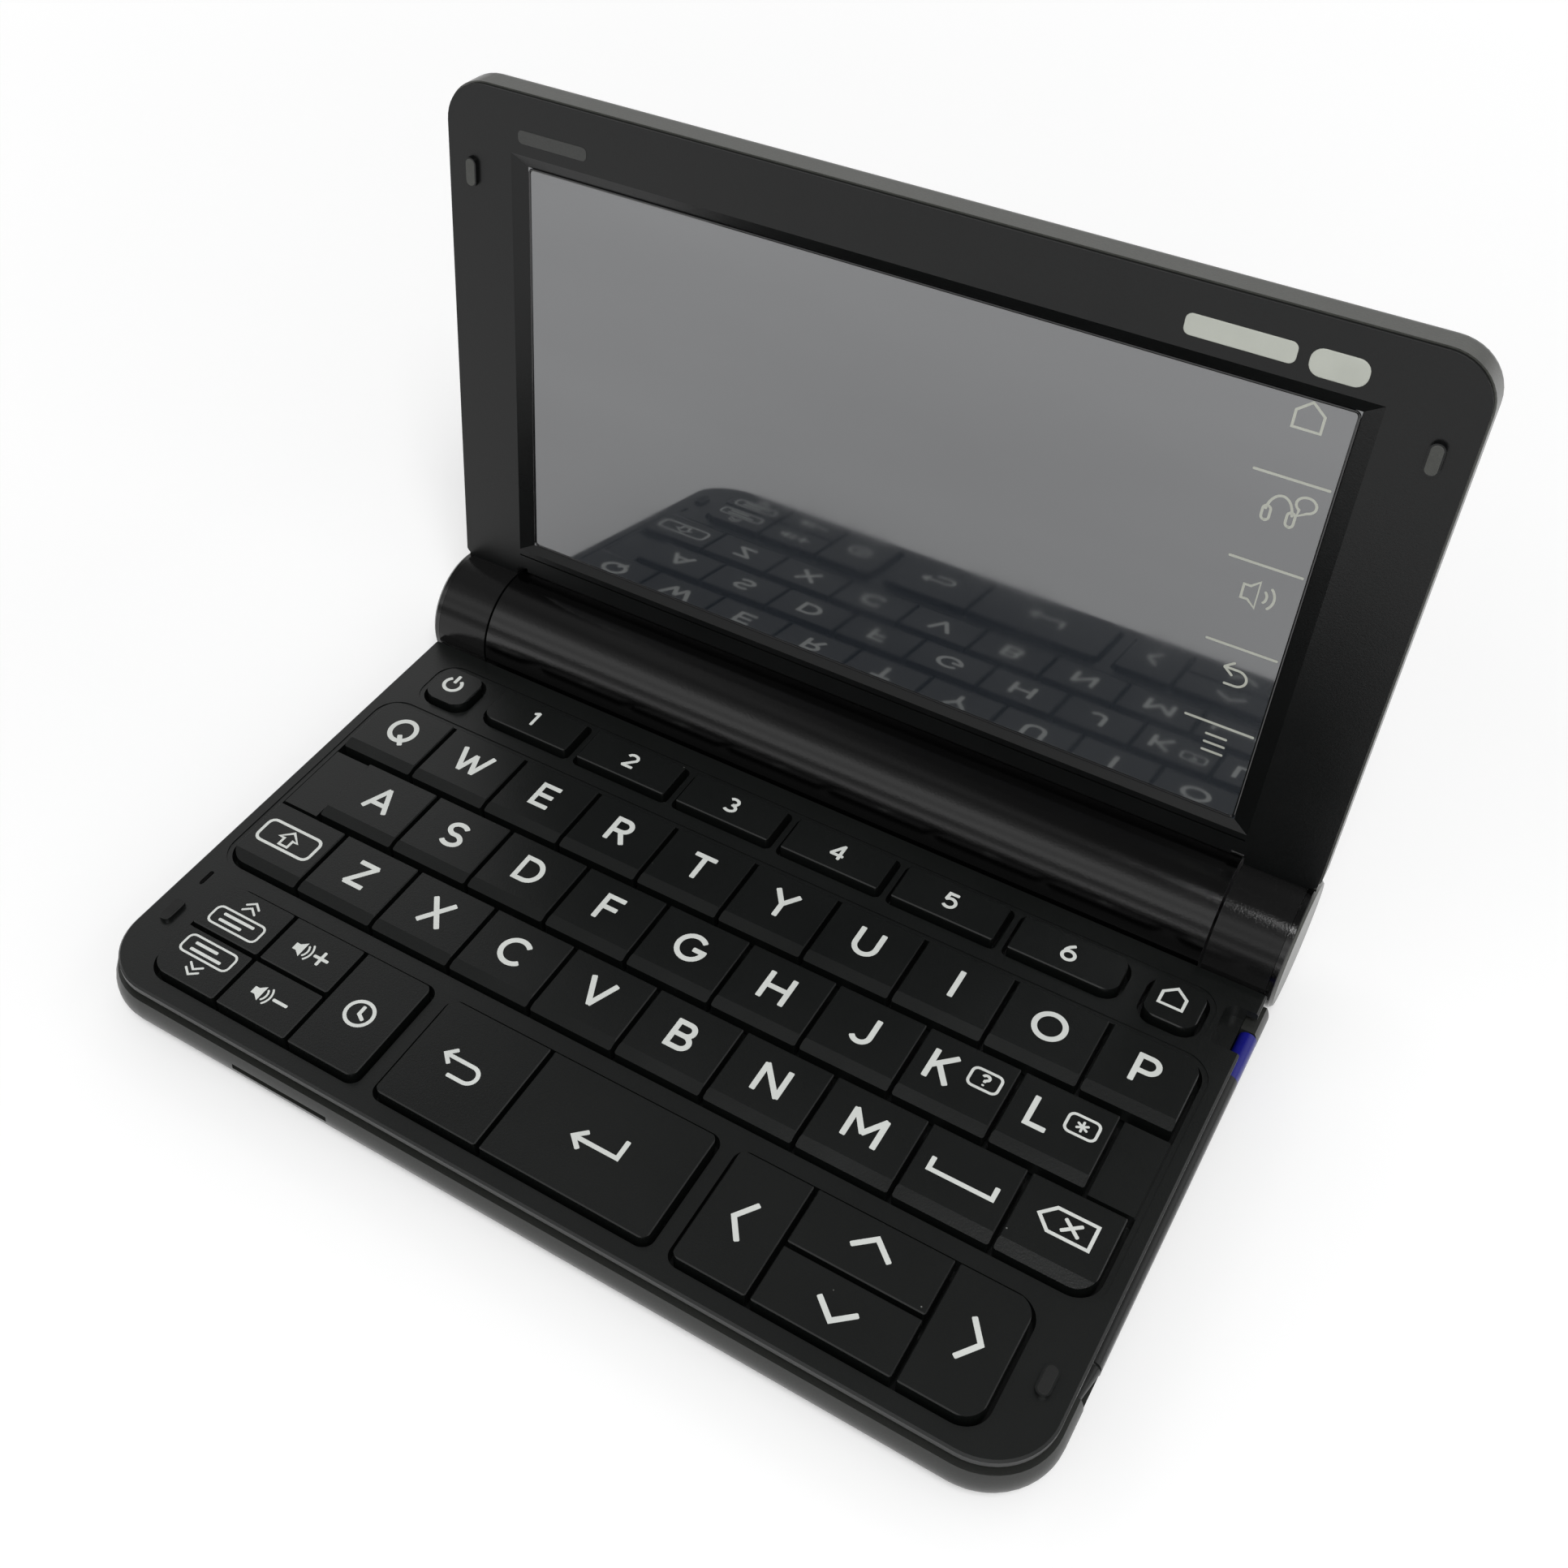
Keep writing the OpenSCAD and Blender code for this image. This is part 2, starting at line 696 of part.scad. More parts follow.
// Posts that carry the circuit board
module board_posts() {
    for (x = [-0.94, 0, 0.94], y = [0.06, 0.94])
        translate([x * cavity_w / 2, -rear_s - 2 - y * (cavity_s - rear_s - 2), foot_h])
            cylinder(h = board_z - foot_h, r = 1.8);
}

// Battery cover, a curved door with two tongues that slide under the barrel's edge
module battery_cover() {
    a = -78;
    color("#2c2e31") {
        cover_space(cover_gap);
        for (x = [-1, 1])
            translate([x * cover_l / 3 - 4, 0, axis_z])
                rotate([90, 0, 90])
                    linear_extrude(8)
                        difference() {
                            sector(barrel_r - cover_t + eps, a + 1, a + 9);
                            circle(r = cell_r + cell_gap + 0.1);
                        }
    }
}

// Two cells end to end in the barrel
module battery_cells() {
    nub = 1.2;
    color("#8a8f94")
        for (x = [-cell_l, seat_gap]) {
            barrel(x, x + cell_l - nub, cell_r);
            barrel(x + cell_l - nub - eps, x + cell_l - seat_gap, 2.7);
        }
}

// Circuit board with its chips, the card socket and the earphone jack
module circuit_board() {
    w = cavity_w - 0.6;
    color("#1e5a34")
        difference() {
            union() {
                plate(w, cavity_s - 0.3, rear_s + 2.3, slab_r, board_z, board_z + board_t);
                box([-w / 2, -jack_s - 3, board_z], [-w / 2 + jack_l, -jack_s + 3,
                    slab_z - seat_gap]);
            }
            translate([-w / 2 - 1, -jack_s, jack_z])
                rotate([0, 90, 0])
                    cylinder(h = jack_l, r = jack_r);
        }
    mid = -(rear_s + cavity_s) / 2;
    color("#222222")
        for (c = [[-0.2, 8, 14], [0.1, 10, 10], [0.3, 4, 12], [-0.05, -14, 8]])
            translate([c[0] * w, mid + c[1], board_z - 0.4])
                linear_extrude(0.4 + eps)
                    square(c[2], center = true);
}

// Rubber mat over the board, with a dome under every key's stem
module key_mat() {
    w = cavity_w - 0.6;
    color("#5a5f64") {
        difference() {
            plate(w, cavity_s - 0.3, rear_s + 2.3, slab_r, mat_z, mat_z + mat_t);
            box([-w / 2 - 1, -jack_s - 3.3, mat_z - 1],
                [-w / 2 + jack_l + 0.3, -jack_s + 3.3, mat_z + 1]);
        }
        for (k = KEYS)
            translate([(k[1] + k[2]) / 2, (k[3] + k[4]) / 2, mat_z])
                cylinder(h = dome_z - mat_z, r1 = 2.6, r2 = 1.7);
    }
}

function pen_z() = deck_z - rim_t - 1.1 - pen_h / 2;
pen_x = slab_w / 2 + 0.1 + pen_w / 2;

// Stylus: a flat-sided grip with a cone-shaped tip, lying along the right side
module stylus() {
    tip = 5;
    r = pen_w / 2;
    color("#1a1a8c") {
        translate([pen_x, -pen_s, pen_z()])
            rotate([90, 0, 0])
                linear_extrude(pen_l - tip)
                    outline(-r, r, -pen_h / 2, pen_h / 2, [r, r, r, r]);
        translate([pen_x, -pen_s - pen_l + tip, pen_z()])
            rotate([90, 0, 0])
                cylinder(h = tip, r1 = r, r2 = 0.5);
    }
}

// ---- Lid, drawn closed with the hinge axis as origin ----

// Cylinder along X about the hinge axis
module drum(x0, x1, r) {
    translate([x0, 0, 0])
        rotate([0, 90, 0])
            cylinder(h = x1 - x0, r = r);
}

// Frustum that opens the frame from the slope's outer line down to the glass
module screen_funnel() {
    w = screen_w / 2;
    y0 = -screen_s - screen_h;
    y1 = -screen_s;
    z0 = front_z;
    z1 = glass_z;
    k = 1 + 1 / recess_d;
    intersection() {
        translate([0, y1 + 9, 0])
            rotate([90, 0, 0])
                linear_extrude(screen_h + 18)
                    polygon([[-w - k * slope_w, z0 - 1], [w + k * slope_w, z0 - 1], [w, z1],
                        [w, z1 + 1], [-w, z1 + 1], [-w, z1]]);
        translate([-w - 9, 0, 0])
            rotate([90, 0, 90])
                linear_extrude(2 * w + 18)
                    polygon([[y0 - k * slope_far, z0 - 1], [y1 + k * slope_near, z0 - 1],
                        [y1, z1], [y1, z1 + 1], [y0, z1 + 1], [y0, z1]]);
    }
}

// Fine groove that sets off the trim strip below the screen
module trim_groove() {
    w = screen_w / 2 + slope_w;
    y = -screen_s + slope_near + trim_gap;
    box([-w, y - 0.12, front_z - 1], [w, y + 0.12, front_z + 0.3]);
}

// Outline of the touch glass, or of the pocket that it lies in
module glass_outline(grow) {
    l = glass_lap + grow;
    outline(-screen_w / 2 - l, screen_w / 2 + l, -screen_s - screen_h - l, -screen_s + l,
        [1, 1, 1, 1]);
}

// Outline of the display module, or of the pocket that it lies in
module lcd_outline(grow) {
    l = grow - 0.6;
    outline(-screen_w / 2 - l, screen_w / 2 + l, -screen_s - screen_h - l, -screen_s + l,
        [0.5, 0.5, 0.5, 0.5]);
}

// Front frame round the screen, with the drums that turn on the hinge pins
module lid_frame() {
    near = rear_s;
    body_z = back_z - shell_t - seat_gap;
    color("#2b2d30") {
        difference() {
            union() {
                plate(lid_w - 2 * bezel_inset, lid_len - bezel_inset, 0,
                    lid_corner_r - bezel_inset, front_z, split_z);
                plate(lid_in_w - 2 * seat_gap, lid_in_s - seat_gap, 0,
                    lid_corner_r - shell_t, split_z - eps, body_z);
            }
            screen_funnel();
            trim_groove();
            translate([0, 0, glass_z])
                linear_extrude(5)
                    glass_outline(seat_gap);
            near_corners(near);
            lip_cut(near + lip_gap - moving_gap);
        }
        for (m = [0, 1])
            mirror([m, 0, 0]) {
                hinge_arm(body_z);
                translate([bumper_x, -bumper_s, front_z])
                    mirror([0, 0, 1])
                        bumper();
            }
    }
}

// What makes room for the barrel: the lid ends at distance s from the hinge axis,
// with a round corner at each side
module near_corners(s) {
    translate([0, 0, front_z - 1]) {
        linear_extrude(lid_t + 2)
            for (x = [-1, 1])
                corner_cut([x * lid_w / 2, -s, -x, -1], near_corner_r);
        translate([-lid_w / 2 - 1, -s, 0])
            cube([lid_w + 2, s + 1, lid_t + 2]);
    }
}

// Wider gap beside the barrel's fixed middle, with a chamfer on the lip
module lip_cut(s) {
    c = lip_chamfer;
    translate([-barrel_x, 0, 0])
        rotate([90, 0, 90])
            linear_extrude(2 * barrel_x)
                polygon([[0, -20], [-s - c - 1, -20], [-s - c - 1, front_z - 1],
                    [-s, front_z + c], [-s, 20], [0, 20]]);
    for (x = [-barrel_x + 0.2, barrel_x - 0.2 - notch_w])
        box([x, -s - notch_d, front_z - 1], [x + notch_w, 0, front_z + 1.2]);
}

// Drum at one end of the barrel and the arm that joins it to the frame
module hinge_arm(top_z) {
    difference() {
        union() {
            drum(barrel_x, drum_x, barrel_r);
            box([barrel_x, -rear_s - 1.5, front_z],
                [lid_in_w / 2 - seat_gap, -barrel_r / 2, top_z]);
        }
        drum(barrel_x - 1, pin_x1 + 0.3, pin_r + 0.02);
    }
}

// Back cover: a shallow shell with rounded back edges and the barrel's end caps
module lid_cover() {
    r = lid_corner_r;
    e = back_edge_r;
    color("#3a3c3f") {
        difference() {
            swept_plate(lid_w, lid_len, 0, r, split_z, back_z)
                union() {
                    translate([0, split_z])
                        square([r, back_z - e - split_z]);
                    translate([0, split_z])
                        square([r - e, back_z - split_z]);
                    translate([r - e, back_z - e])
                        circle(r = e);
                }
            plate(lid_in_w, lid_in_s, 0, r - shell_t, split_z - 1, back_z - shell_t);
            near_corners(rear_s);
        }
        for (m = [0, 1])
            mirror([m, 0, 0])
                end_cap();
    }
}

// Cap on the outer end of the barrel, joined to the side of the back cover
module end_cap() {
    x = lid_w / 2;
    c = 0.5;
    translate([x - cap_t, 0, 0])
        rotate([0, 90, 0]) {
            cylinder(h = cap_t - c, r = barrel_r);
            translate([0, 0, cap_t - c - eps])
                cylinder(h = c + eps, r1 = barrel_r, r2 = barrel_r - c);
        }
    box([x - cap_t, -rear_s - near_corner_r, split_z],
        [x - 0.3, -barrel_r / 2, back_z - back_edge_r]);
}

// Touch glass in its pocket behind the frame
module screen_glass() {
    color("#11141a")
        translate([0, 0, glass_z])
            linear_extrude(glass_t - seat_gap)
                glass_outline(0);
}

// Display module behind the glass
module lcd_module() {
    color("#4c5054")
        translate([0, 0, lcd_z])
            linear_extrude(lcd_t)
                lcd_outline(0);
}

// The two steel pins that the lid turns on
module hinge_pins() {
    color("#b8bcc0")
        for (m = [0, 1])
            mirror([m, 0, 0])
                drum(pin_x0, pin_x1, pin_r);
}

// ---- Placing ----

// Moves a piece of the base to the object's origin
module in_base() {
    translate([0, -origin_y, 0])
        children();
}

// Turns a piece of the closed lid up to its open angle
module in_lid() {
    translate([0, -origin_y, axis_z])
        rotate([-lid_open, 0, 0])
            children();
}

in_base() upper_case();
in_base() lower_case();
in_base() battery_cover();
in_base() battery_cells();
in_base() circuit_board();
in_base() key_mat();
in_base() stylus();
in_lid() lid_frame();
in_lid() lid_cover();
in_lid() screen_glass();
in_lid() lcd_module();
in_lid() hinge_pins();
for (k = KEYS)
    in_base() key_cap(k);
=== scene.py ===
"""Looks of a clamshell electronic dictionary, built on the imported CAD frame."""
import math

import bmesh
import bpy
from mathutils import Matrix, Vector


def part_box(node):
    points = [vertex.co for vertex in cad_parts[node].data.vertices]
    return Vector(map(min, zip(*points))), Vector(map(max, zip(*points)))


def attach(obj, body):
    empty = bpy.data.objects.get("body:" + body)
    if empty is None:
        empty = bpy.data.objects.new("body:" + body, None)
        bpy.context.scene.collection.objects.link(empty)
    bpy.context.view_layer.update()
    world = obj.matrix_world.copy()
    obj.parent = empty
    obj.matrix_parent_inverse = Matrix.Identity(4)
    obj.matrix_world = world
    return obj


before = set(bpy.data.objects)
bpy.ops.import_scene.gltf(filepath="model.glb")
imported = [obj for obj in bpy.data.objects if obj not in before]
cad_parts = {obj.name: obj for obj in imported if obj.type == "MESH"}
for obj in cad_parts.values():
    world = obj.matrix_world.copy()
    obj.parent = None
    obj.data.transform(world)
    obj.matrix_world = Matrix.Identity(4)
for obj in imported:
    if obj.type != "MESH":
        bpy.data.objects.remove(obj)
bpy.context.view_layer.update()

MM = 0.001

# Sizes repeated from the CAD, in mm. On the base, y is 0 at the hinge axis and falls towards
# the front. On the lid, s is the distance from the axis, and a face lies behind its plane.
AXIS_Y, AXIS_Z = 40.9043, 10.5
BARREL_R = 10.0
LID_OPEN = math.radians(93.8)
LID_FACE = 0.25
GLASS_FACE = LID_FACE + 0.9
# The glass: half its width, from where to where in s, and its corner radius
GLASS_HALF, GLASS_SPAN, GLASS_CORNER = 59.95, (16.55, 82.35), 0.9
DECK_TOP, KEY_TOP = 9.3, 10.45
# The bumpers are as far from the axis on the base as on the lid
BUMPER_X, BUMPER_S, BUMPER_H = 69.3, 79.7, 0.6
# How far in front of the axis the blue end of the stylus reaches
STYLUS_BLUE = 24.2
FOOT_H = 0.5


# ---------------------------------------------------------------- colours
def srgb(r, g, b):
    """A display colour, 0 to 255, as the linear colour that a shader takes."""
    out = []
    for v in (r, g, b):
        v /= 255
        out.append(v / 12.92 if v <= 0.04045 else ((v + 0.055) / 1.055) ** 2.4)
    return (*out, 1.0)


def grey(v):
    return srgb(v, v, v)


def scaled(colour, k):
    return (*(min(1.0, c * k) for c in colour[:3]), 1.0)


# ---------------------------------------------------------------- node trees
# A noise keeps almost wholly between these values
NOISE_LOW, NOISE_HIGH = 0.3, 0.7


def fill(node, inputs):
    """Sets inputs of a node by name; an underscore stands for a space."""
    for key, value in inputs.items():
        node.inputs[key.replace("_", " ")].default_value = value
    return node


class Tree:
    """A node tree and the helpers that build it."""

    def __init__(self, tree):
        self.tree = tree
        self.link = tree.links.new

    def add(self, kind, **inputs):
        return fill(self.tree.nodes.new(kind), inputs)

    def math(self, op, a, b=None, clamp=False):
        """Result of a math node; a and b are numbers or sockets."""
        node = self.add("ShaderNodeMath")
        node.operation = op
        node.use_clamp = clamp
        for socket, value in zip(node.inputs, (a, b)):
            if value is None:
                continue
            if isinstance(value, (int, float)):
                socket.default_value = value
            else:
                self.link(value, socket)
        return node.outputs[0]

    def length(self, a, b):
        """Length of the vector (a, b)."""
        return self.math("SQRT", self.math("ADD", self.math("MULTIPLY", a, a),
                                           self.math("MULTIPLY", b, b)))

    def split(self, vector):
        node = self.add("ShaderNodeSeparateXYZ")
        self.link(vector, node.inputs[0])
        return node.outputs


class Material(Tree):
    """A material: its shader, its object coordinates and helpers for patterns."""

    def __init__(self, name):
        self.mat = bpy.data.materials.new(name)
        self.mat.use_nodes = True
        super().__init__(self.mat.node_tree)
        self.bsdf = self.tree.nodes["Principled BSDF"]
        self.place = self.add("ShaderNodeTexCoord").outputs["Object"]

    def set(self, **values):
        fill(self.bsdf, values)

    def colour(self, socket):
        self.link(socket, self.bsdf.inputs["Base Color"])

    def rough(self, socket):
        self.link(socket, self.bsdf.inputs["Roughness"])

    def feed(self, name):
        """The socket that now feeds an input of the shader."""
        return self.bsdf.inputs[name].links[0].from_socket

    def bump(self, height, depth, strength=1.0):
        """Bump in which a height of 1 stands for a depth in mm."""
        node = self.add("ShaderNodeBump", Strength=strength, Distance=depth * MM)
        self.link(height, node.inputs["Height"])
        self.link(node.outputs["Normal"], self.bsdf.inputs["Normal"])

    def noise(self, size, detail=2.0, rough=0.5, stretch=None):
        """Noise of a feature size in mm, stretched along the axes if asked."""
        node = self.add("ShaderNodeTexNoise", Scale=1 / (size * MM), Detail=detail,
                        Roughness=rough)
        source = self.place
        if stretch:
            mapping = self.add("ShaderNodeMapping", Scale=stretch)
            self.link(source, mapping.inputs["Vector"])
            source = mapping.outputs["Vector"]
        self.link(source, node.inputs["Vector"])
        return node.outputs["Fac"]

    def cells(self, size, metric="EUCLIDEAN", **inputs):
        """Distance from the nearest point of a pattern, in cells of a size in mm."""
        node = self.add("ShaderNodeTexVoronoi", Scale=1 / (size * MM), **inputs)
        node.distance = metric
        self.link(self.place, node.inputs["Vector"])
        return node.outputs["Distance"]

    def span(self, value, low, high, out_low=0.0, out_high=1.0):
        """Maps low..high to out_low..out_high, clamped."""
        node = self.add("ShaderNodeMapRange", From_Min=low, From_Max=high, To_Min=out_low,
                        To_Max=out_high)
        self.link(value, node.inputs["Value"])
        return node.outputs["Result"]

    def full(self, noise, out_low=0.0, out_high=1.0):
        """Spreads a noise over out_low..out_high."""
        return self.span(noise, NOISE_LOW, NOISE_HIGH, out_low, out_high)

    def blend(self, factor, a, b):
        """Colour mix; a and b are colours or sockets."""
        node = self.add("ShaderNodeMix")
        node.data_type = "RGBA"
        self.link(factor, node.inputs["Factor"])
        for socket, value in ((node.inputs["A"], a), (node.inputs["B"], b)):
            if isinstance(value, tuple):
                socket.default_value = value
            else:
                self.link(value, socket)
        return node.outputs["Result"]


# ---------------------------------------------------------------- materials
# Handling wear: size of its patches in mm, the noise that shows it, how much of it shows at
# most, how much lighter it is, and what it does to the roughness
WEAR_SIZE, WEAR_SPAN, WEAR_MOST, WEAR_GAIN = 24.0, (0.15, 1.0), 0.5, 1.35
WEAR_ROUGH_SPAN, WEAR_ROUGH = (0.1, 0.95), (-0.07, 0.1)
# Dust specks: spacing in mm, edge as a share of it, colour; patches that have them, in mm
DUST_SPACING, DUST_EDGE, DUST = 7.0, (0.012, 0.02), srgb(140, 142, 138)
DUST_PATCH, DUST_GATE = 9.0, (0.56, 0.6)
# The barrel's surface: how far off its radius it fades out in mm, and its roughness
BARREL_NEAR, BARREL_ROUGH = (0.1, 0.2), (0.07, 0.12)
# Lean of the film over the display, and height of its ripple in metres
FILM_LEAN, FILM_RIPPLE = math.radians(4.3), 0.000004
# Pitch of the bands on a cell's sleeve, in mm
BAND_PITCH = 25.0


def moulded(name, colour, rough=0.42, grain=0.3, depth=0.018, spread=0.22,
            specks=0.0, ior=1.5):
    """Moulded plastic: spark-eroded grain, broad handling wear and a few dust specks."""
    m = Material(name)
    fine = m.noise(grain, detail=3.0, rough=0.65)
    wide = m.noise(WEAR_SIZE, detail=3.0, rough=0.55)
    tone = m.blend(m.full(fine), scaled(colour, 1 - spread), scaled(colour, 1 + spread))
    worn = m.blend(m.span(wide, *WEAR_SPAN, 0.0, WEAR_MOST), tone, scaled(colour, WEAR_GAIN))
    if specks:
        near = m.span(m.cells(DUST_SPACING), *DUST_EDGE, 1.0, 0.0)
        gate = m.span(m.noise(DUST_PATCH), *DUST_GATE)
        dust = m.math("MULTIPLY", m.math("MULTIPLY", near, gate), specks)
        worn = m.blend(dust, worn, DUST)
    m.colour(worn)
    m.rough(m.span(wide, *WEAR_ROUGH_SPAN, *(rough + change for change in WEAR_ROUGH)))
    m.bump(fine, depth)
    m.set(IOR=ior)
    return m


def barrel_mask(m):
    """1 on the barrel's round surface, whose axis is the hinge's."""
    _, y, z = m.split(m.place)
    radius = m.length(m.math("SUBTRACT", y, AXIS_Y * MM), m.math("SUBTRACT", z, AXIS_Z * MM))
    off = m.math("ABSOLUTE", m.math("SUBTRACT", radius, BARREL_R * MM))
    low, high = BARREL_NEAR
    return m.math("SUBTRACT", 1.0, m.span(off, low * MM, high * MM), clamp=True)


def body_plastic(name, colour, feet=False, round_tone=4, **more):
    """Case plastic, with rubber feet where asked.

    On the barrel it is smoother and of another grey, round_tone of 255; where that grey is set
    lighter than the barrel's middle, as on the lid's end drums, it is a painted sheen.
    """
    m = moulded(name, colour, **more)
    mask = barrel_mask(m)
    mix = m.add("ShaderNodeMix")
    m.link(mask, mix.inputs["Factor"])
    m.link(m.feed("Roughness"), mix.inputs["A"])
    m.link(m.full(m.noise(9.0, detail=3.0), *BARREL_ROUGH), mix.inputs["B"])
    m.rough(mix.outputs["Result"])
    # The barrel's grey; set lighter on the lid's end drums, it is a painted sheen
    sheen = m.blend(m.noise(0.4, detail=3.0), grey(round_tone * 0.8), grey(round_tone * 1.2))
    m.colour(m.blend(mask, m.feed("Base Color"), sheen))
    if feet:
        _, _, z = m.split(m.place)
        foot = m.span(z, (FOOT_H - 0.05) * MM, (FOOT_H - 0.02) * MM, 1.0, 0.0)
        grit = m.blend(m.noise(0.5), srgb(34, 34, 35), grey(50))
        m.colour(m.blend(foot, m.feed("Base Color"), grit))
    return m.mat


def glass():
    """Touch glass over the display: a dark, very smooth sheet with faint smears.

    Its high IOR and wide coat stand for the layers of a touch panel, which mirror strongly.
    """
    m = Material("touch_glass")
    smear = m.noise(14.0, detail=4.0, rough=0.6, stretch=(1.0, 1.0, 0.5))
    streaks = m.noise(45.0, detail=4.0, rough=0.55, stretch=(0.45, 1.0, 1.6))
    m.colour(m.blend(m.span(streaks, 0.3, 0.72), (0.006, 0.009, 0.014, 1.0),
                     (0.030, 0.034, 0.039, 1.0)))
    m.rough(m.span(smear, 0.4, 0.75, 0.03, 0.075))
    # The film leans back a little, and that shows in what it mirrors; heights in metres
    _, _, z = m.split(m.place)
    lean = m.math("MULTIPLY", z, -math.tan(FILM_LEAN))
    ripple = m.math("MULTIPLY", m.noise(30.0), FILM_RIPPLE)
    m.bump(m.math("ADD", lean, ripple), depth=1 / MM)
    m.set(IOR=2.38, Coat_Weight=0.5, Coat_Roughness=0.38)
    return m.mat


def ink(name, colour, rough=0.5):
    """Screen print: even colour with the faint mottle of thick ink."""
    m = Material(name)
    fine = m.noise(0.25)
    wide = m.noise(6.0)
    m.colour(m.blend(m.full(wide), scaled(colour, 0.93),
                     m.blend(fine, scaled(colour, 0.97), scaled(colour, 1.04))))
    m.rough(m.full(fine, rough - 0.06, rough + 0.06))
    m.bump(fine, 0.006, strength=0.5)
    return m.mat


def rubber(name, colour):
    m = Material(name)
    fine = m.noise(0.4, detail=4.0, rough=0.7)
    m.colour(m.blend(fine, scaled(colour, 0.8), scaled(colour, 1.25)))
    m.rough(m.full(m.noise(3.0), 0.62, 0.78))
    m.bump(fine, 0.02)
    return m.mat


def metal(name, colour, rough=0.28):
    """Metal with drawn lines along x."""
    m = Material(name)
    lines = m.noise(0.5, detail=3.0, rough=0.6, stretch=(0.05, 1.0, 1.0))
    m.colour(m.blend(lines, scaled(colour, 0.85), scaled(colour, 1.1)))
    m.rough(m.full(lines, rough - 0.08, rough + 0.1))
    m.bump(lines, 0.006)
    m.set(Metallic=1.0)
    return m.mat


def circuit():
    """Solder mask over copper: green with a faint pattern of tracks."""
    m = Material("board")
    tracks = m.span(m.cells(2.2, "MANHATTAN"), 0.42, 0.46)
    m.colour(m.blend(tracks, srgb(24, 62, 38), srgb(44, 92, 54)))
    m.rough(m.full(m.noise(4.0), 0.3, 0.42))
    m.bump(tracks, 0.03)
    return m.mat


def sleeve():
    """Printed shrink sleeve of a cell: bands round it, and nothing written."""
    m = Material("cell_sleeve")
    x, _, _ = m.split(m.place)
    wave = m.math("SINE", m.math("MULTIPLY", x, 2 * math.pi / (BAND_PITCH * MM)))
    m.colour(m.blend(m.span(wave, 0.55, 0.6), srgb(70, 74, 78), srgb(168, 150, 96)))
    m.rough(m.full(m.noise(5.0), 0.22, 0.34))
    m.bump(m.noise(1.2, detail=3.0), 0.01)
    return m.mat


def panel():
    """Display panel: a fine dot grid in a grey sheet."""
    m = Material("display_panel")
    m.colour(m.blend(m.span(m.cells(0.25, Randomness=0.0), 0.3, 0.6), srgb(116, 122, 116),
                     srgb(94, 100, 95)))
    m.rough(m.full(m.noise(6.0), 0.3, 0.45))
    return m.mat


def stylus():
    """The stylus: a blue end, which the finger recess shows, and a dark barrel."""
    m = moulded("stylus_plastic", srgb(15, 17, 112), rough=0.26, grain=0.5, spread=0.08)
    _, y, _ = m.split(m.place)
    end = AXIS_Y - STYLUS_BLUE
    dark = m.blend(m.noise(0.3, detail=3.0), srgb(13, 14, 14), srgb(20, 21, 20))
    m.colour(m.blend(m.span(y, end * MM, (end + 0.1) * MM), dark, m.feed("Base Color")))
    return m.mat


PRINT_WHITE = ink("print_white", srgb(214, 217, 213))
PLATE_PALE = ink("plate_pale", srgb(178, 181, 172), rough=0.36)
GLASS_PRINT = ink("glass_print", srgb(176, 178, 168), rough=0.4)
LABEL_FILM = ink("label_film", srgb(84, 85, 82), rough=0.35)
# One rubber for the bumper caps in two tones: lighter on the lid as painted light, darker on
# the base as painted shade
RUBBER_PAINTED_LIGHT = rubber("rubber_painted_light", srgb(62, 63, 60))
RUBBER_PAINTED_SHADE = rubber("rubber_painted_shade", srgb(12, 13, 12))
# Black for painted shade: the microphone slit and the cross recesses of the screws
BLACK_PAINTED_SHADE = moulded("black_painted_shade", grey(3), rough=0.6, spread=0.1, ior=1.15).mat
BADGE = moulded("badge_blank", srgb(40, 41, 39), rough=0.4).mat
GLASS_BEAD = moulded("glass_bead", srgb(3, 3, 4), rough=0.16, depth=0.003, spread=0.1,
                     ior=1.7).mat
SCREW = metal("screw_steel", srgb(70, 70, 72), rough=0.3)

# The CAD's material slots
MATERIALS = {
    "deck_plastic": body_plastic("deck_plastic", srgb(11, 13, 12), rough=0.32, specks=0.5),
    "case_plastic": body_plastic("case_plastic", srgb(34, 35, 33), feet=True, rough=0.34,
                                 ior=1.55),
    "key_plastic": moulded("key_plastic", srgb(10, 12, 11), rough=0.3, specks=0.8).mat,
    # round_tone=20 is a painted sheen: the lid's end drums take a lighter barrel grey so that
    # they look as bright as the barrel's middle
    "frame_plastic": body_plastic("frame_plastic", srgb(7, 8, 8), rough=0.3, specks=0.4,
                                  ior=1.37, round_tone=20),
    "shell_plastic": body_plastic("shell_plastic", srgb(62, 63, 59), rough=0.3, ior=1.6),
    "cover_plastic": body_plastic("cover_plastic", srgb(14, 16, 15)),
    "cell_sleeve": sleeve(),
    "board": circuit(),
    "mat_rubber": rubber("mat_rubber", srgb(92, 92, 88)),
    "touch_glass": glass(),
    "display_panel": panel(),
    "pin_steel": metal("pin_steel", srgb(186, 186, 184)),
    "stylus_plastic": stylus(),
}
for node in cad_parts.values():
    slot = node.data.materials[0].name.split(".")[0]
    node.data.materials.clear()
    node.data.materials.append(MATERIALS[slot])


# ---------------------------------------------------------------- placing, mm
def on_base(z):
    """Places x and y on the base, with a height over z."""
    return lambda x, y, up: Vector((x, y + AXIS_Y, z + up)) * MM


def on_lid(face):
    """Places x and s on a face of the open lid, with a height in front of it."""
    def place(x, s, up):
        z = face - up
        return Vector((x, s * -math.cos(LID_OPEN) + z * math.sin(LID_OPEN) + AXIS_Y,
                       s * math.sin(LID_OPEN) + z * math.cos(LID_OPEN) + AXIS_Z)) * MM
    return place


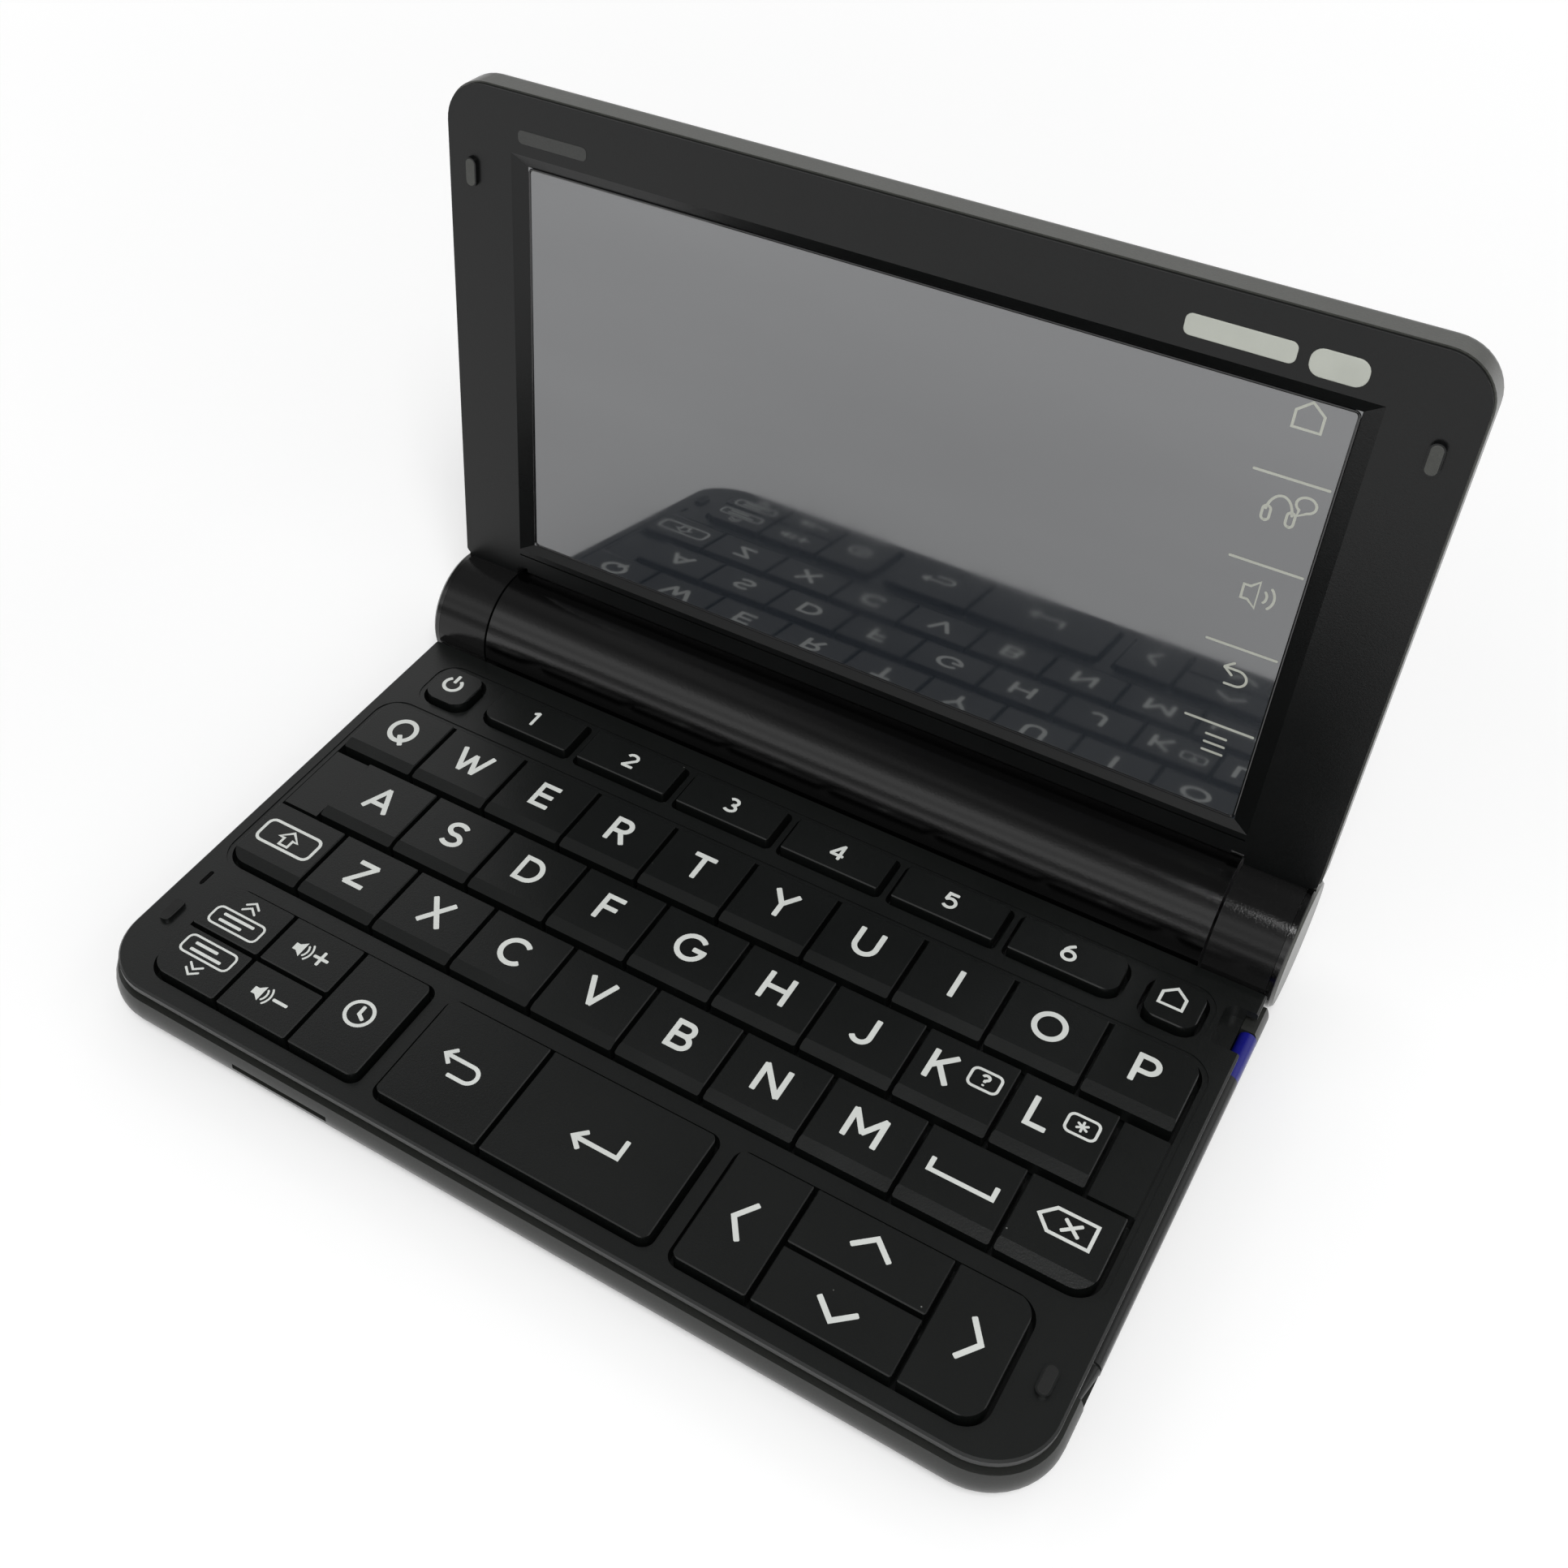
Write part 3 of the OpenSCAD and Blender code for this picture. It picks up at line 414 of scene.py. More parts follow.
def under(x, y, up):
    """Places x and y on the flat underside, with up pointing down."""
    return Vector((x, y + AXIS_Y, FOOT_H - up)) * MM


KEYS = on_base(KEY_TOP)
DECK = on_base(DECK_TOP)
LID = on_lid(LID_FACE)
GLASS = on_lid(GLASS_FACE)


# ---------------------------------------------------------------- shapes
# Printed strokes, in mm: how deep they sink in and how far they stand proud. The next stroke
# of a legend, and the next run of a stroke, is a step higher, so that no two faces coincide.
PRINT_SINK, PRINT_PROUD = 0.015, 0.03
STROKE_STEP, RUN_STEP = 0.003, 0.001
# A corner whose turn has a smaller cosine is cut, and its ends run on by this share of the
# width; the longest mitre of the other corners, in half widths
SHARP_COS, CUT_REACH, MITRE_MAX = -0.15, 0.2, 1.35
# Rounding of a stroke's ends in mm, and how much of it their width loses
END_SOFT, END_TAPER = 0.13, 0.8


def arc(cx, cy, rx, ry, start, end, step=12):
    """Points along an ellipse between two angles in degrees."""
    n = max(2, int(abs(end - start) / step))
    angles = [math.radians(start + (end - start) * i / n) for i in range(n + 1)]
    return [(cx + rx * math.cos(a), cy + ry * math.sin(a)) for a in angles]


def closed(points):
    return points + [points[0]]


def is_loop(points):
    return points[0] == points[-1] and len(points) > 2


def round_box(x0, x1, y0, y1, r, inset=0.0, n=6):
    """Outline of a rounded rectangle, the same count of points at each inset."""
    x0, x1, y0, y1 = x0 + inset, x1 - inset, y0 + inset, y1 - inset
    r = max(r - inset, 0.01)
    out = []
    for cx, cy, a in ((x1 - r, y1 - r, 0), (x0 + r, y1 - r, 90),
                      (x0 + r, y0 + r, 180), (x1 - r, y0 + r, 270)):
        out += arc(cx, cy, r, r, a, a + 90, 90 / n)
    return out


def skin(bm, rings, place, caps=True):
    """Joins rings of (x, y, height) points, and closes the two ends where asked."""
    made = [[bm.verts.new(place(*p)) for p in ring] for ring in rings]
    n = len(made[0])
    for low, high in zip(made, made[1:]):
        for i in range(n):
            j = (i + 1) % n
            bm.faces.new((low[i], low[j], high[j], high[i]))
    if caps:
        bm.faces.new(made[0][::-1])
        bm.faces.new(made[-1])


def sharp_runs(points, reach):
    """Cuts a stroke at corners too sharp to mitre; the cut ends run on by reach."""
    runs, run = [], [Vector(points[0])]
    for a, b, c in zip(points, points[1:], points[2:]):
        a, b, c = Vector(a), Vector(b), Vector(c)
        into, out = (b - a).normalized(), (c - b).normalized()
        if into.dot(out) > SHARP_COS:
            run.append(b)
            continue
        runs.append(run + [b + into * reach])
        run = [b - out * reach]
    return runs + [run + [Vector(points[-1])]]


def stroke_line(bm, points, width, high, place):
    """A stroke of any shape, as one or more ribbons at slightly different heights."""
    runs = [points] if is_loop(points) else sharp_runs(points, width * CUT_REACH)
    for i, run in enumerate(runs):
        ribbon(bm, [tuple(p) for p in run], width, -PRINT_SINK, high + RUN_STEP * i, place)


def ribbon(bm, points, width, low, high, place):
    """A flat stroke along points; its ends are square with small rounded corners."""
    loop = is_loop(points)
    pts = [Vector(p) for p in points]
    half = width / 2
    if loop:
        pts = pts[:-1]
    else:
        # The rounding leaves room in the width and in the first and last segment
        start, stop = pts[1] - pts[0], pts[-2] - pts[-1]
        soft = min(END_SOFT, width * 0.3, start.length * 0.45, stop.length * 0.45)
        pts = [pts[0], pts[0] + start.normalized() * soft, *pts[1:-1],
               pts[-1] + stop.normalized() * soft, pts[-1]]
    n = len(pts)
    rows = []
    for i, p in enumerate(pts):
        into = (p - pts[i - 1]).normalized() if i or loop else None
        out = (pts[(i + 1) % n] - p).normalized() if i < n - 1 or loop else None
        into, out = into or out, out or into
        side, next_side = Vector((-into.y, into.x)), Vector((-out.y, out.x))
        mid = side + next_side
        mid = mid.normalized() if mid.length > 1e-6 else side
        reach = 1 / max(mid.dot(side), 1 / MITRE_MAX)
        if not loop and i in (0, n - 1):
            reach *= 1 - soft / half * END_TAPER
        rows.append((p + mid * half * reach, p - mid * half * reach))
    verts = [[bm.verts.new(place(q.x, q.y, z)) for q in row for z in (low, high)]
             for row in rows]
    for i in range(n if loop else n - 1):
        a, b = verts[i], verts[(i + 1) % n]
        for j, k in ((0, 1), (1, 3), (3, 2), (2, 0)):
            bm.faces.new((a[j], a[k], b[k], b[j]))
    if not loop:
        for row in (verts[0], verts[-1]):
            bm.faces.new((row[0], row[1], row[3], row[2]))


def add_object(name, data):
    obj = bpy.data.objects.new(name, data)
    bpy.context.collection.objects.link(obj)
    return obj


def piece(name, body, bm, material):
    """Turns the mesh into an object that rides on a body."""
    bmesh.ops.recalc_face_normals(bm, faces=bm.faces)
    mesh = bpy.data.meshes.new(name)
    bm.to_mesh(mesh)
    bm.free()
    mesh.materials.append(material)
    obj = add_object(name, mesh)
    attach(obj, body)


def plate(name, body, place, box, material, r, high, low=-0.1, edge=0.1):
    """A plate with corners of a radius r and a softened upper edge.

    box is x0, x1, y0, y1; low and high are the heights of its two faces.
    """
    steps = [(0.0, low), (0.0, high - edge)]
    if edge:
        steps += [(edge * 0.3, high - edge * 0.3), (edge, high)]
    bm = bmesh.new()
    skin(bm, [[(x, y, z) for x, y in round_box(*box, r, inset)] for inset, z in steps], place)
    piece(name, body, bm, material)


# ---------------------------------------------------------------- letters and marks
# Strokes round a letter's own centre, in mm, for a capital 5.1 high
LETTERS = {
    "q": [arc(0, 0.05, 2.1, 2.32, 0, 360, 10), [(0.1, -0.95), (1.5, -2.95)]],
    "w": [[(-2.75, 2.55), (-1.18, -2.15), (0, 1.55), (1.18, -2.15), (2.75, 2.55)]],
    "e": [[(1.7, 2.12), (-1.3, 2.12), (-1.3, -2.12), (1.72, -2.12)], [(-1.2, 0), (1.45, 0)]],
    "r": [[(-1.38, -2.55), (-1.38, 2.53)],
          [(-1.3, 2.12), (0.1, 2.12), *arc(0.1, 0.95, 1.2, 1.17, 75, -75), (0.1, -0.22),
           (-1.3, -0.22)],
          [(0.1, -0.2), (1.55, -2.55)]],
    "t": [[(-1.85, 2.12), (1.85, 2.12)], [(0, 2.0), (0, -2.55)]],
    "y": [[(-1.85, 2.55), (0, 0), (1.85, 2.55)], [(0, 0.1), (0, -2.55)]],
    "u": [[(-1.65, 2.55), (-1.65, -0.5), *arc(0, -0.5, 1.65, 1.65, 190, 350), (1.65, -0.5),
           (1.65, 2.55)]],
    "i": [[(0, 2.55), (0, -2.55)]],
    "o": [arc(0, 0, 2.15, 2.2, 0, 360, 10)],
    "p": [[(-1.3, -2.55), (-1.3, 2.53)],
          [(-1.2, 2.12), (0.3, 2.12), *arc(0.3, 0.85, 1.25, 1.27, 75, -75), (0.3, -0.42),
           (-1.2, -0.42)]],
    "a": [[(-2.05, -2.55), (0, 2.2), (2.05, -2.55)], [(-1.35, -1.05), (1.35, -1.05)]],
    "s": [[*arc(0, 1.05, 1.4, 1.12, 30, 255), *arc(0, -1.08, 1.5, 1.12, 75, -150)]],
    "d": [closed([(-1.7, -2.12), (-1.7, 2.12), (-0.2, 2.12),
                  *arc(-0.2, 0, 1.95, 2.12, 80, -80), (-0.2, -2.12)])],
    "f": [[(1.6, 2.12), (-1.25, 2.12), (-1.25, -2.55)], [(-1.15, 0), (1.3, 0)]],
    "g": [arc(0, 0, 2.1, 2.2, 42, 354), [(0.35, -0.15), (2.5, -0.15)]],
    "h": [[(-1.75, 2.55), (-1.75, -2.55)], [(1.75, 2.55), (1.75, -2.55)],
          [(-1.7, 0), (1.7, 0)]],
    "j": [[(0.95, 2.55), (0.95, -0.8), *arc(-0.35, -0.85, 1.3, 1.3, -10, -155)]],
    "k": [[(-1.4, 2.55), (-1.4, -2.55)], [(1.7, 2.55), (-1.3, -0.35)],
          [(-0.45, 0.45), (1.75, -2.55)]],
    "l": [[(-1.2, 2.55), (-1.2, -2.12), (1.6, -2.12)]],
    "z": [[(-1.65, 2.12), (1.6, 2.12), (-1.6, -2.12), (1.75, -2.12)]],
    "x": [[(-1.85, 2.55), (1.85, -2.55)], [(1.85, 2.55), (-1.85, -2.55)]],
    "c": [arc(0, 0, 2.15, 2.2, 42, 318)],
    "v": [[(-1.95, 2.55), (0, -2.2), (1.95, 2.55)]],
    "b": [[(-1.45, -2.53), (-1.45, 2.53)],
          [(-1.4, 2.12), (0.2, 2.12), *arc(0.2, 1.1, 1.0, 1.02, 75, -75), (0.2, 0.08),
           (-1.4, 0.08)],
          [(0.1, 0.08), (0.3, 0.08), *arc(0.3, -1.02, 1.2, 1.1, 75, -75), (0.3, -2.12),
           (-1.4, -2.12)]],
    "n": [[(-1.75, -2.55), (-1.75, 2.2), (1.75, -2.2), (1.75, 2.55)]],
    "m": [[(-2.2, -2.55), (-2.2, 2.2), (0, -1.0), (2.2, 2.2), (2.2, -2.55)]],
    "1": [[(-1.1, 1.5), (0.2, 2.3), (0.2, -2.55)]],
    "2": [[*arc(0, 1.0, 1.4, 1.15, 165, -25), (-1.5, -2.12), (1.6, -2.12)]],
    "3": [[*arc(-0.1, 1.12, 1.3, 1.02, 140, -80), *arc(-0.1, -1.05, 1.5, 1.1, 80, -145)]],
    "4": [[(0.8, -2.55), (0.8, 2.5)], [(0.7, 2.1), (-1.6, -1.15), (1.8, -1.15)]],
    "5": [[(1.3, 2.12), (-1.05, 2.12), (-1.3, 0.1),
           *arc(-0.1, -0.75, 1.5, 1.4, 125, -145)]],
    "6": [closed(arc(0, -0.85, 1.5, 1.35, 0, 348)),
          [(0.7, 2.45), *arc(1.6, -0.7, 3.0, 3.2, 118, 165)]],
    "?": [[*arc(0, 0.95, 1.15, 1.0, 170, -30), (0, -0.3), (0, -1.0)],
          [(0, -1.75), (0, -2.4)]],
    "*": [[(0, 1.6), (0, -1.6)], [(-1.4, 0.8), (1.4, -0.8)], [(-1.4, -0.8), (1.4, 0.8)]],
}
LETTER_W = 0.82
LETTER_Y = {**dict.fromkeys("qwertyuiop", -32.2), **dict.fromkeys("asdfghjkl", -46.2),
            **dict.fromkeys("zxcvbnm", -60.2)}
# Letters beside a boxed sign stand off their key's centre
LETTER_DX = {"k": -2.81, "l": -2.48}
# The digits of the shortcut keys: their y, scale and stroke width
DIGIT_Y, DIGIT_SCALE, DIGIT_W = -18.6, 0.62, 0.52

# In place of a stroke's width: a filled shape
FILLED = None


def moved(strokes, x, y, k=1.0):
    return [[(x + a * k, y + b * k) for a, b in stroke] for stroke in strokes]


def box_line(x0, x1, y0, y1, r=0.9):
    return closed(round_box(x0, x1, y0, y1, r, n=4))


def speaker(x, y):
    """Loudspeaker and its two waves, its left edge at x."""
    horn = [(x, y - 0.6), (x + 0.7, y - 0.6), (x + 1.65, y - 1.35), (x + 1.65, y + 1.35),
            (x + 0.7, y + 0.6), (x, y + 0.6)]
    waves = [arc(x + 1.3, y, 1.1, 1.3, -50, 50), arc(x + 1.3, y, 1.8, 2.0, -46, 46)]
    return [(FILLED, [horn]), (0.3, waves)]


# Marks on the other keys, as groups of (stroke width, strokes); x and y of the deck in mm
MARKS = {
    "power": [(0.6, [arc(-62.9, -18.9, 1.5, 1.5, 125, 415), [(-62.9, -16.6), (-62.9, -18.5)]])],
    "home": [(0.45, [closed([(60.3, -20.2), (60.3, -18.1), (62.0, -16.7), (63.7, -18.1),
                             (63.7, -20.2)])])],
    "previous": [(0.34, [[(-60.0, -73.75), (-58.75, -72.8), (-57.5, -73.75)],
                         [(-60.0, -74.8), (-58.75, -73.85), (-57.5, -74.8)]]),
                 (0.36, [box_line(-63.2, -54.25, -78.9, -75.7)]),
                 (0.5, [[(-61.6, -76.7), (-55.9, -76.7)], [(-61.6, -77.9), (-57.4, -77.9)]])],
    "next": [(0.34, [[(-59.65, -86.0), (-58.4, -86.95), (-57.15, -86.0)],
                     [(-59.65, -87.05), (-58.4, -88.0), (-57.15, -87.05)]]),
             (0.36, [box_line(-63.0, -54.1, -85.1, -81.9)]),
             (0.5, [[(-61.4, -83.0), (-57.2, -83.0)], [(-61.4, -84.2), (-55.7, -84.2)]])],
    "volume_up": [*speaker(-48.9, -75.9),
                  (0.5, [[(-45.3, -75.9), (-42.7, -75.9)], [(-44.0, -74.6), (-44.0, -77.2)]])],
    "volume_down": [*speaker(-48.7, -85.1), (0.5, [[(-45.1, -85.1), (-42.5, -85.1)]])],
    "history": [(0.55, [arc(-33.2, -80.6, 2.1, 2.1, 0, 360),
                        [(-33.2, -79.2), (-33.2, -80.7), (-32.1, -81.4)]])],
    "back": [(0.62, [[(-18.9, -79.6), (-14.2, -79.6), *arc(-14.2, -81.0, 1.4, 1.4, 80, -80),
                      (-14.2, -82.4), (-16.8, -82.4)],
                     [(-17.6, -78.3), (-18.9, -79.6), (-17.6, -80.9)]])],
    "enter": [(0.7, [[(10.0, -78.4), (10.0, -81.4), (3.2, -81.4)],
                     [(4.8, -79.9), (3.2, -81.4), (4.8, -82.9)]])],
    "shift": [(0.5, [box_line(-68.2, -58.2, -62.6, -58.1, 1.1)]),
              (0.42, [closed([(-63.2, -58.9), (-64.9, -60.4), (-64.0, -60.4), (-64.0, -61.8),
                              (-62.4, -61.8), (-62.4, -60.4), (-61.5, -60.4)])])],
    "space": [(0.7, [[(44.9, -59.4), (44.9, -61.4), (53.8, -61.4), (53.8, -59.4)]])],
    "delete": [(0.5, [closed([(59.6, -59.9), (61.4, -58.0), (66.9, -58.0), (66.9, -61.8),
                              (61.4, -61.8)]),
                      [(62.8, -58.9), (65.2, -60.9)], [(65.2, -58.9), (62.8, -60.9)]])],
    "left": [(0.75, [[(29.2, -77.6), (27.1, -80.6), (29.2, -83.6)]])],
    "right": [(0.75, [[(58.7, -77.2), (60.9, -80.2), (58.7, -83.2)]])],
    "up": [(0.75, [[(41.4, -76.4), (44.1, -74.0), (46.8, -76.4)]])],
    "down": [(0.75, [[(41.4, -84.5), (44.1, -86.9), (46.8, -84.5)]])],
}
# The boxed signs beside two letters
SIGNS = {
    "k": [(0.4, [box_line(43.3, 47.6, -46.7, -43.6, 0.8)]),
          (0.42, moved(LETTERS["?"], 45.45, -45.1, 0.42))],
    "l": [(0.4, [box_line(57.2, 61.5, -46.7, -43.6, 0.8)]),
          (0.34, moved(LETTERS["*"], 59.35, -45.15, 0.58))],
}

# Strokes of the marks on the glass: their width, the height of the first, and how much higher
# each next one is
MARK_W, MARK_PROUD, MARK_STEP = 0.35, 0.02, 0.002
# In x and s: a house, headphones with a speech bubble, a loudspeaker, a return arrow, the
# three lines of a menu, and the lines between the marks
GLASS_MARKS = [
    closed([(52.5, 77.9), (56.0, 77.9), (56.0, 80.2), (54.25, 81.7), (52.5, 80.2)]),
    arc(53.9, 65.4, 1.7, 2.9, 172, 8),
    closed(round_box(51.9, 52.9, 64.3, 66.4, 0.5, n=3)),
    closed(round_box(55.0, 56.0, 64.3, 66.4, 0.5, n=3)),
    closed([*arc(56.9, 68.0, 1.25, 1.1, -75, 235), (56.1, 66.2)]),
    closed([(52.3, 52.2), (53.2, 52.2), (54.3, 51.2), (54.3, 55.3), (53.2, 54.3),
            (52.3, 54.3)]),
    arc(54.4, 53.25, 1.1, 1.2, -50, 50),
    arc(54.4, 53.25, 2.1, 2.2, -48, 48),
    [(54.1, 42.0), (52.8, 40.9), (54.1, 39.8)],
    [(52.8, 40.9), (54.7, 40.9), *arc(54.7, 39.6, 1.4, 1.3, 80, -80), (54.7, 38.3),
     (53.2, 38.3)],
    *([(52.8, s), (55.9, s)] for s in (29.2, 27.8, 26.4)),
    *([(49.4, s), (59.2, s)] for s in (70.9, 57.8, 44.4, 31.2)),
]


def centre_x(node):
    """Middle of a CAD piece in x, in mm."""
    low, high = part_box(node)
    return (low[0] + high[0]) / 2 / MM


def legend(key, groups):
    """The print on one key's top, a single piece that rides on that key."""
    bm = bmesh.new()
    high = PRINT_PROUD
    for width, strokes in groups:
        for stroke in strokes:
            if width is FILLED:
                skin(bm, [[(x, y, up) for x, y in stroke] for up in (-PRINT_SINK, high)],
                     KEYS)
            else:
                stroke_line(bm, stroke, width, high, KEYS)
            high += STROKE_STEP
    piece(f"print_{key}", f"key_{key}", bm, PRINT_WHITE)


def key_legends():
    for letter, y in LETTER_Y.items():
        x = centre_x(f"key_{letter}") + LETTER_DX.get(letter, 0.0)
        legend(letter, [(LETTER_W, moved(LETTERS[letter], x, y)), *SIGNS.get(letter, [])])
    for digit in "123456":
        x = centre_x(f"key_shortcut_{digit}")
        legend(f"shortcut_{digit}",
               [(DIGIT_W, moved(LETTERS[digit], x, DIGIT_Y, DIGIT_SCALE))])
    for key, groups in MARKS.items():
        legend(key, groups)


def glass_marks():
    bm = bmesh.new()
    for i, stroke in enumerate(GLASS_MARKS):
        stroke_line(bm, stroke, MARK_W, MARK_PROUD + MARK_STEP * i, GLASS)
    piece("glass_marks", "lid", bm, GLASS_PRINT)


# ---------------------------------------------------------------- trim
BEAD_R, BEAD_SINK = 0.2, 0.05
# Caps of the bumpers: half width, half length and corner radius, then how high they start,
# how far they stand over the bumper, and their edge
CAP_HALF_W, CAP_HALF_L, CAP_R = 0.78, 2.05, 0.77
CAP_LOW, CAP_PROUD, CAP_EDGE = 0.4, 0.04, 0.08

SCREWS = ((-66, -34), (66, -34), (-66, -70), (66, -70), (0, -86))
SCREW_R, SCREW_SIDES = 1.9, 32
# Rings of a screw's domed head: share of its radius, and height
SCREW_HEAD = ((1.0, -0.1), (1.0, 0.08), (0.93, 0.16), (0.6, 0.22), (0.3, 0.24))
# The cross of painted shade: half length and width of an arm, its foot, and the tops of the two
# arms
CROSS_HALF, CROSS_W, CROSS_LOW, CROSS_TOPS = 0.95, 0.34, 0.05, (0.245, 0.247)


def blank_plates():
    """The three blank plates above the screen."""
    plate("plate_long", "lid", LID, (37.2, 51.0, 86.1, 89.0), PLATE_PALE, r=0.9, high=0.12)
    plate("plate_pill", "lid", LID, (52.5, 59.6, 85.5, 89.2), PLATE_PALE, r=1.6, high=0.12)
    plate("badge_blank", "lid", LID, (-61.0, -49.4, 86.0, 88.0), BADGE, r=0.7, high=0.06,
          edge=0.05)


def glass_bead():
    """Thin half-round bead that frames the glass, where it meets the recess."""
    turns = [math.radians(45 * i) for i in range(5)]
    section = [(0.0, -BEAD_SINK),
               *((BEAD_R - BEAD_R * math.cos(t), BEAD_R * math.sin(t)) for t in turns),
               (2 * BEAD_R, -BEAD_SINK)]
    glass_box = (-GLASS_HALF, GLASS_HALF, *GLASS_SPAN, GLASS_CORNER)
    rings = [[(x, y, up) for x, y in round_box(*glass_box, inset)] for inset, up in section]
    bm = bmesh.new()
    skin(bm, rings + rings[:1], GLASS, caps=False)
    bmesh.ops.remove_doubles(bm, verts=bm.verts, dist=1e-7)
    piece("glass_bead", "lid", bm, GLASS_BEAD)


def bumper_caps():
    """Tops of the four rubber bumpers, one rubber in two tones: the lid's lighter as painted
    light, the base's darker as painted shade.
    """
    bodies = (("lid", LID, BUMPER_S, RUBBER_PAINTED_LIGHT), ("base", DECK, -BUMPER_S, RUBBER_PAINTED_SHADE))
    for side, x in (("left", -BUMPER_X), ("right", BUMPER_X)):
        for body, place, y, material in bodies:
            box = (x - CAP_HALF_W, x + CAP_HALF_W, y - CAP_HALF_L, y + CAP_HALF_L)
            plate(f"bumper_{body}_{side}", body, place, box, material, r=CAP_R,
                  high=BUMPER_H + CAP_PROUD, low=CAP_LOW, edge=CAP_EDGE)


def mic_slit():
    # Painted shade: a black sheet on the deck where the microphone slit's opening is dark
    plate("mic_slit", "base", DECK, (-69.75, -69.25, -73.6, -70.8), BLACK_PAINTED_SHADE, r=0.24,
          high=0.02, edge=0.0)


def screw(name, x, y):
    """Screw in the underside: a domed head, and a black cross of painted shade for its recess.
    """
    bm = bmesh.new()
    rings = []
    for share, up in SCREW_HEAD:
        r = SCREW_R * share
        rings.append([(*p, up) for p in arc(x, y, r, r, 0, 360, 360 / SCREW_SIDES)[:-1]])
    skin(bm, rings, under)
    piece(name, "base", bm, SCREW)
    # The recess as a black cross: painted shade
    bm = bmesh.new()
    for dx, dy, top in ((CROSS_HALF, 0, CROSS_TOPS[0]), (0, CROSS_HALF, CROSS_TOPS[1])):
        ribbon(bm, [(x - dx, y - dy), (x + dx, y + dy)], CROSS_W, CROSS_LOW, top, under)
    piece(f"{name}_cross_painted_shade", "base", bm, BLACK_PAINTED_SHADE)


def underside():
    """The screws and the blank label."""
    for i, (x, y) in enumerate(SCREWS, 1):
        screw(f"screw_{i}", x, y)
    plate("label_blank", "base", under, (-28, 28, -62, -40), LABEL_FILM, r=1.5, high=0.06,
          edge=0.04)


# ---------------------------------------------------------------- set and camera
FLOOR_HALF = 6.0
# Light that the floor adds where it is seen: near the object, far off, and the distances
# between which it changes, in metres
FLOOR_NEAR, FLOOR_FAR, FLOOR_FADE = 0.12, 0.5, (0.15, 0.9)
# The lamp: its place and side in metres, and its power in watts
LAMP_PLACE, LAMP_SIDE, LAMP_POWER = Vector((0.35, -0.55, 1.15)), 0.5, 10.5

# Brightness of the surroundings by the sine of the elevation: white walls in long bands up
# to about 45 degrees, and a dim ceiling
WALLS = ((0.0, 0.50), (0.13, 0.50), (0.15, 0.26), (0.27, 0.26), (0.29, 1.00), (0.42, 1.00),
         (0.44, 0.70), (0.55, 0.70), (0.57, 0.98), (0.69, 0.86), (0.71, 0.36), (0.80, 0.34),
         (0.82, 0.17), (0.88, 0.17), (0.89, 0.30), (0.94, 0.28), (0.95, 0.10), (1.0, 0.10))
# Up to this sine of the elevation, what is glossy mirrors white
HORIZON = 0.03

# The camera as fitted: the image's side, the focal length and the centre in pixels, its place
# in metres, and its turn as an axis times an angle, from the object's axes to x to the right,
# y down and z ahead; the sensor's width in mm is free
IMAGE, FOCAL, CENTRE = 1932, 2253.4, (798.9, 875.8)
CAMERA_PLACE = Vector((0.08621, -0.15031, 0.2149))
CAMERA_TURN = Vector((2.250974, 0.643951, -0.292156))
SENSOR = 36.0


def build_stage():
    """White floor, which adds a little light of its own only where it is seen."""
    m = Material("floor_white")
    m.colour(m.blend(m.noise(180.0), grey(243), grey(246)))
    m.set(Roughness=0.9, Emission_Color=(1, 1, 1, 1))
    rays = m.add("ShaderNodeLightPath").outputs
    seen = m.math("MAXIMUM", rays["Is Camera Ray"], rays["Is Glossy Ray"])
    seen = m.math("MAXIMUM", seen, rays["Is Transmission Ray"])
    x, y, _ = m.split(m.place)
    lift = m.span(m.length(x, y), *FLOOR_FADE, FLOOR_NEAR, FLOOR_FAR)
    m.link(m.math("MULTIPLY", seen, lift), m.bsdf.inputs["Emission Strength"])
    mesh = bpy.data.meshes.new("floor")
    corners = [(-1, -1), (1, -1), (1, 1), (-1, 1)]
    mesh.from_pydata([(x * FLOOR_HALF, y * FLOOR_HALF, 0) for x, y in corners], [],
                     [(0, 1, 2, 3)])
    mesh.materials.append(m.mat)
    floor = add_object("floor", mesh)


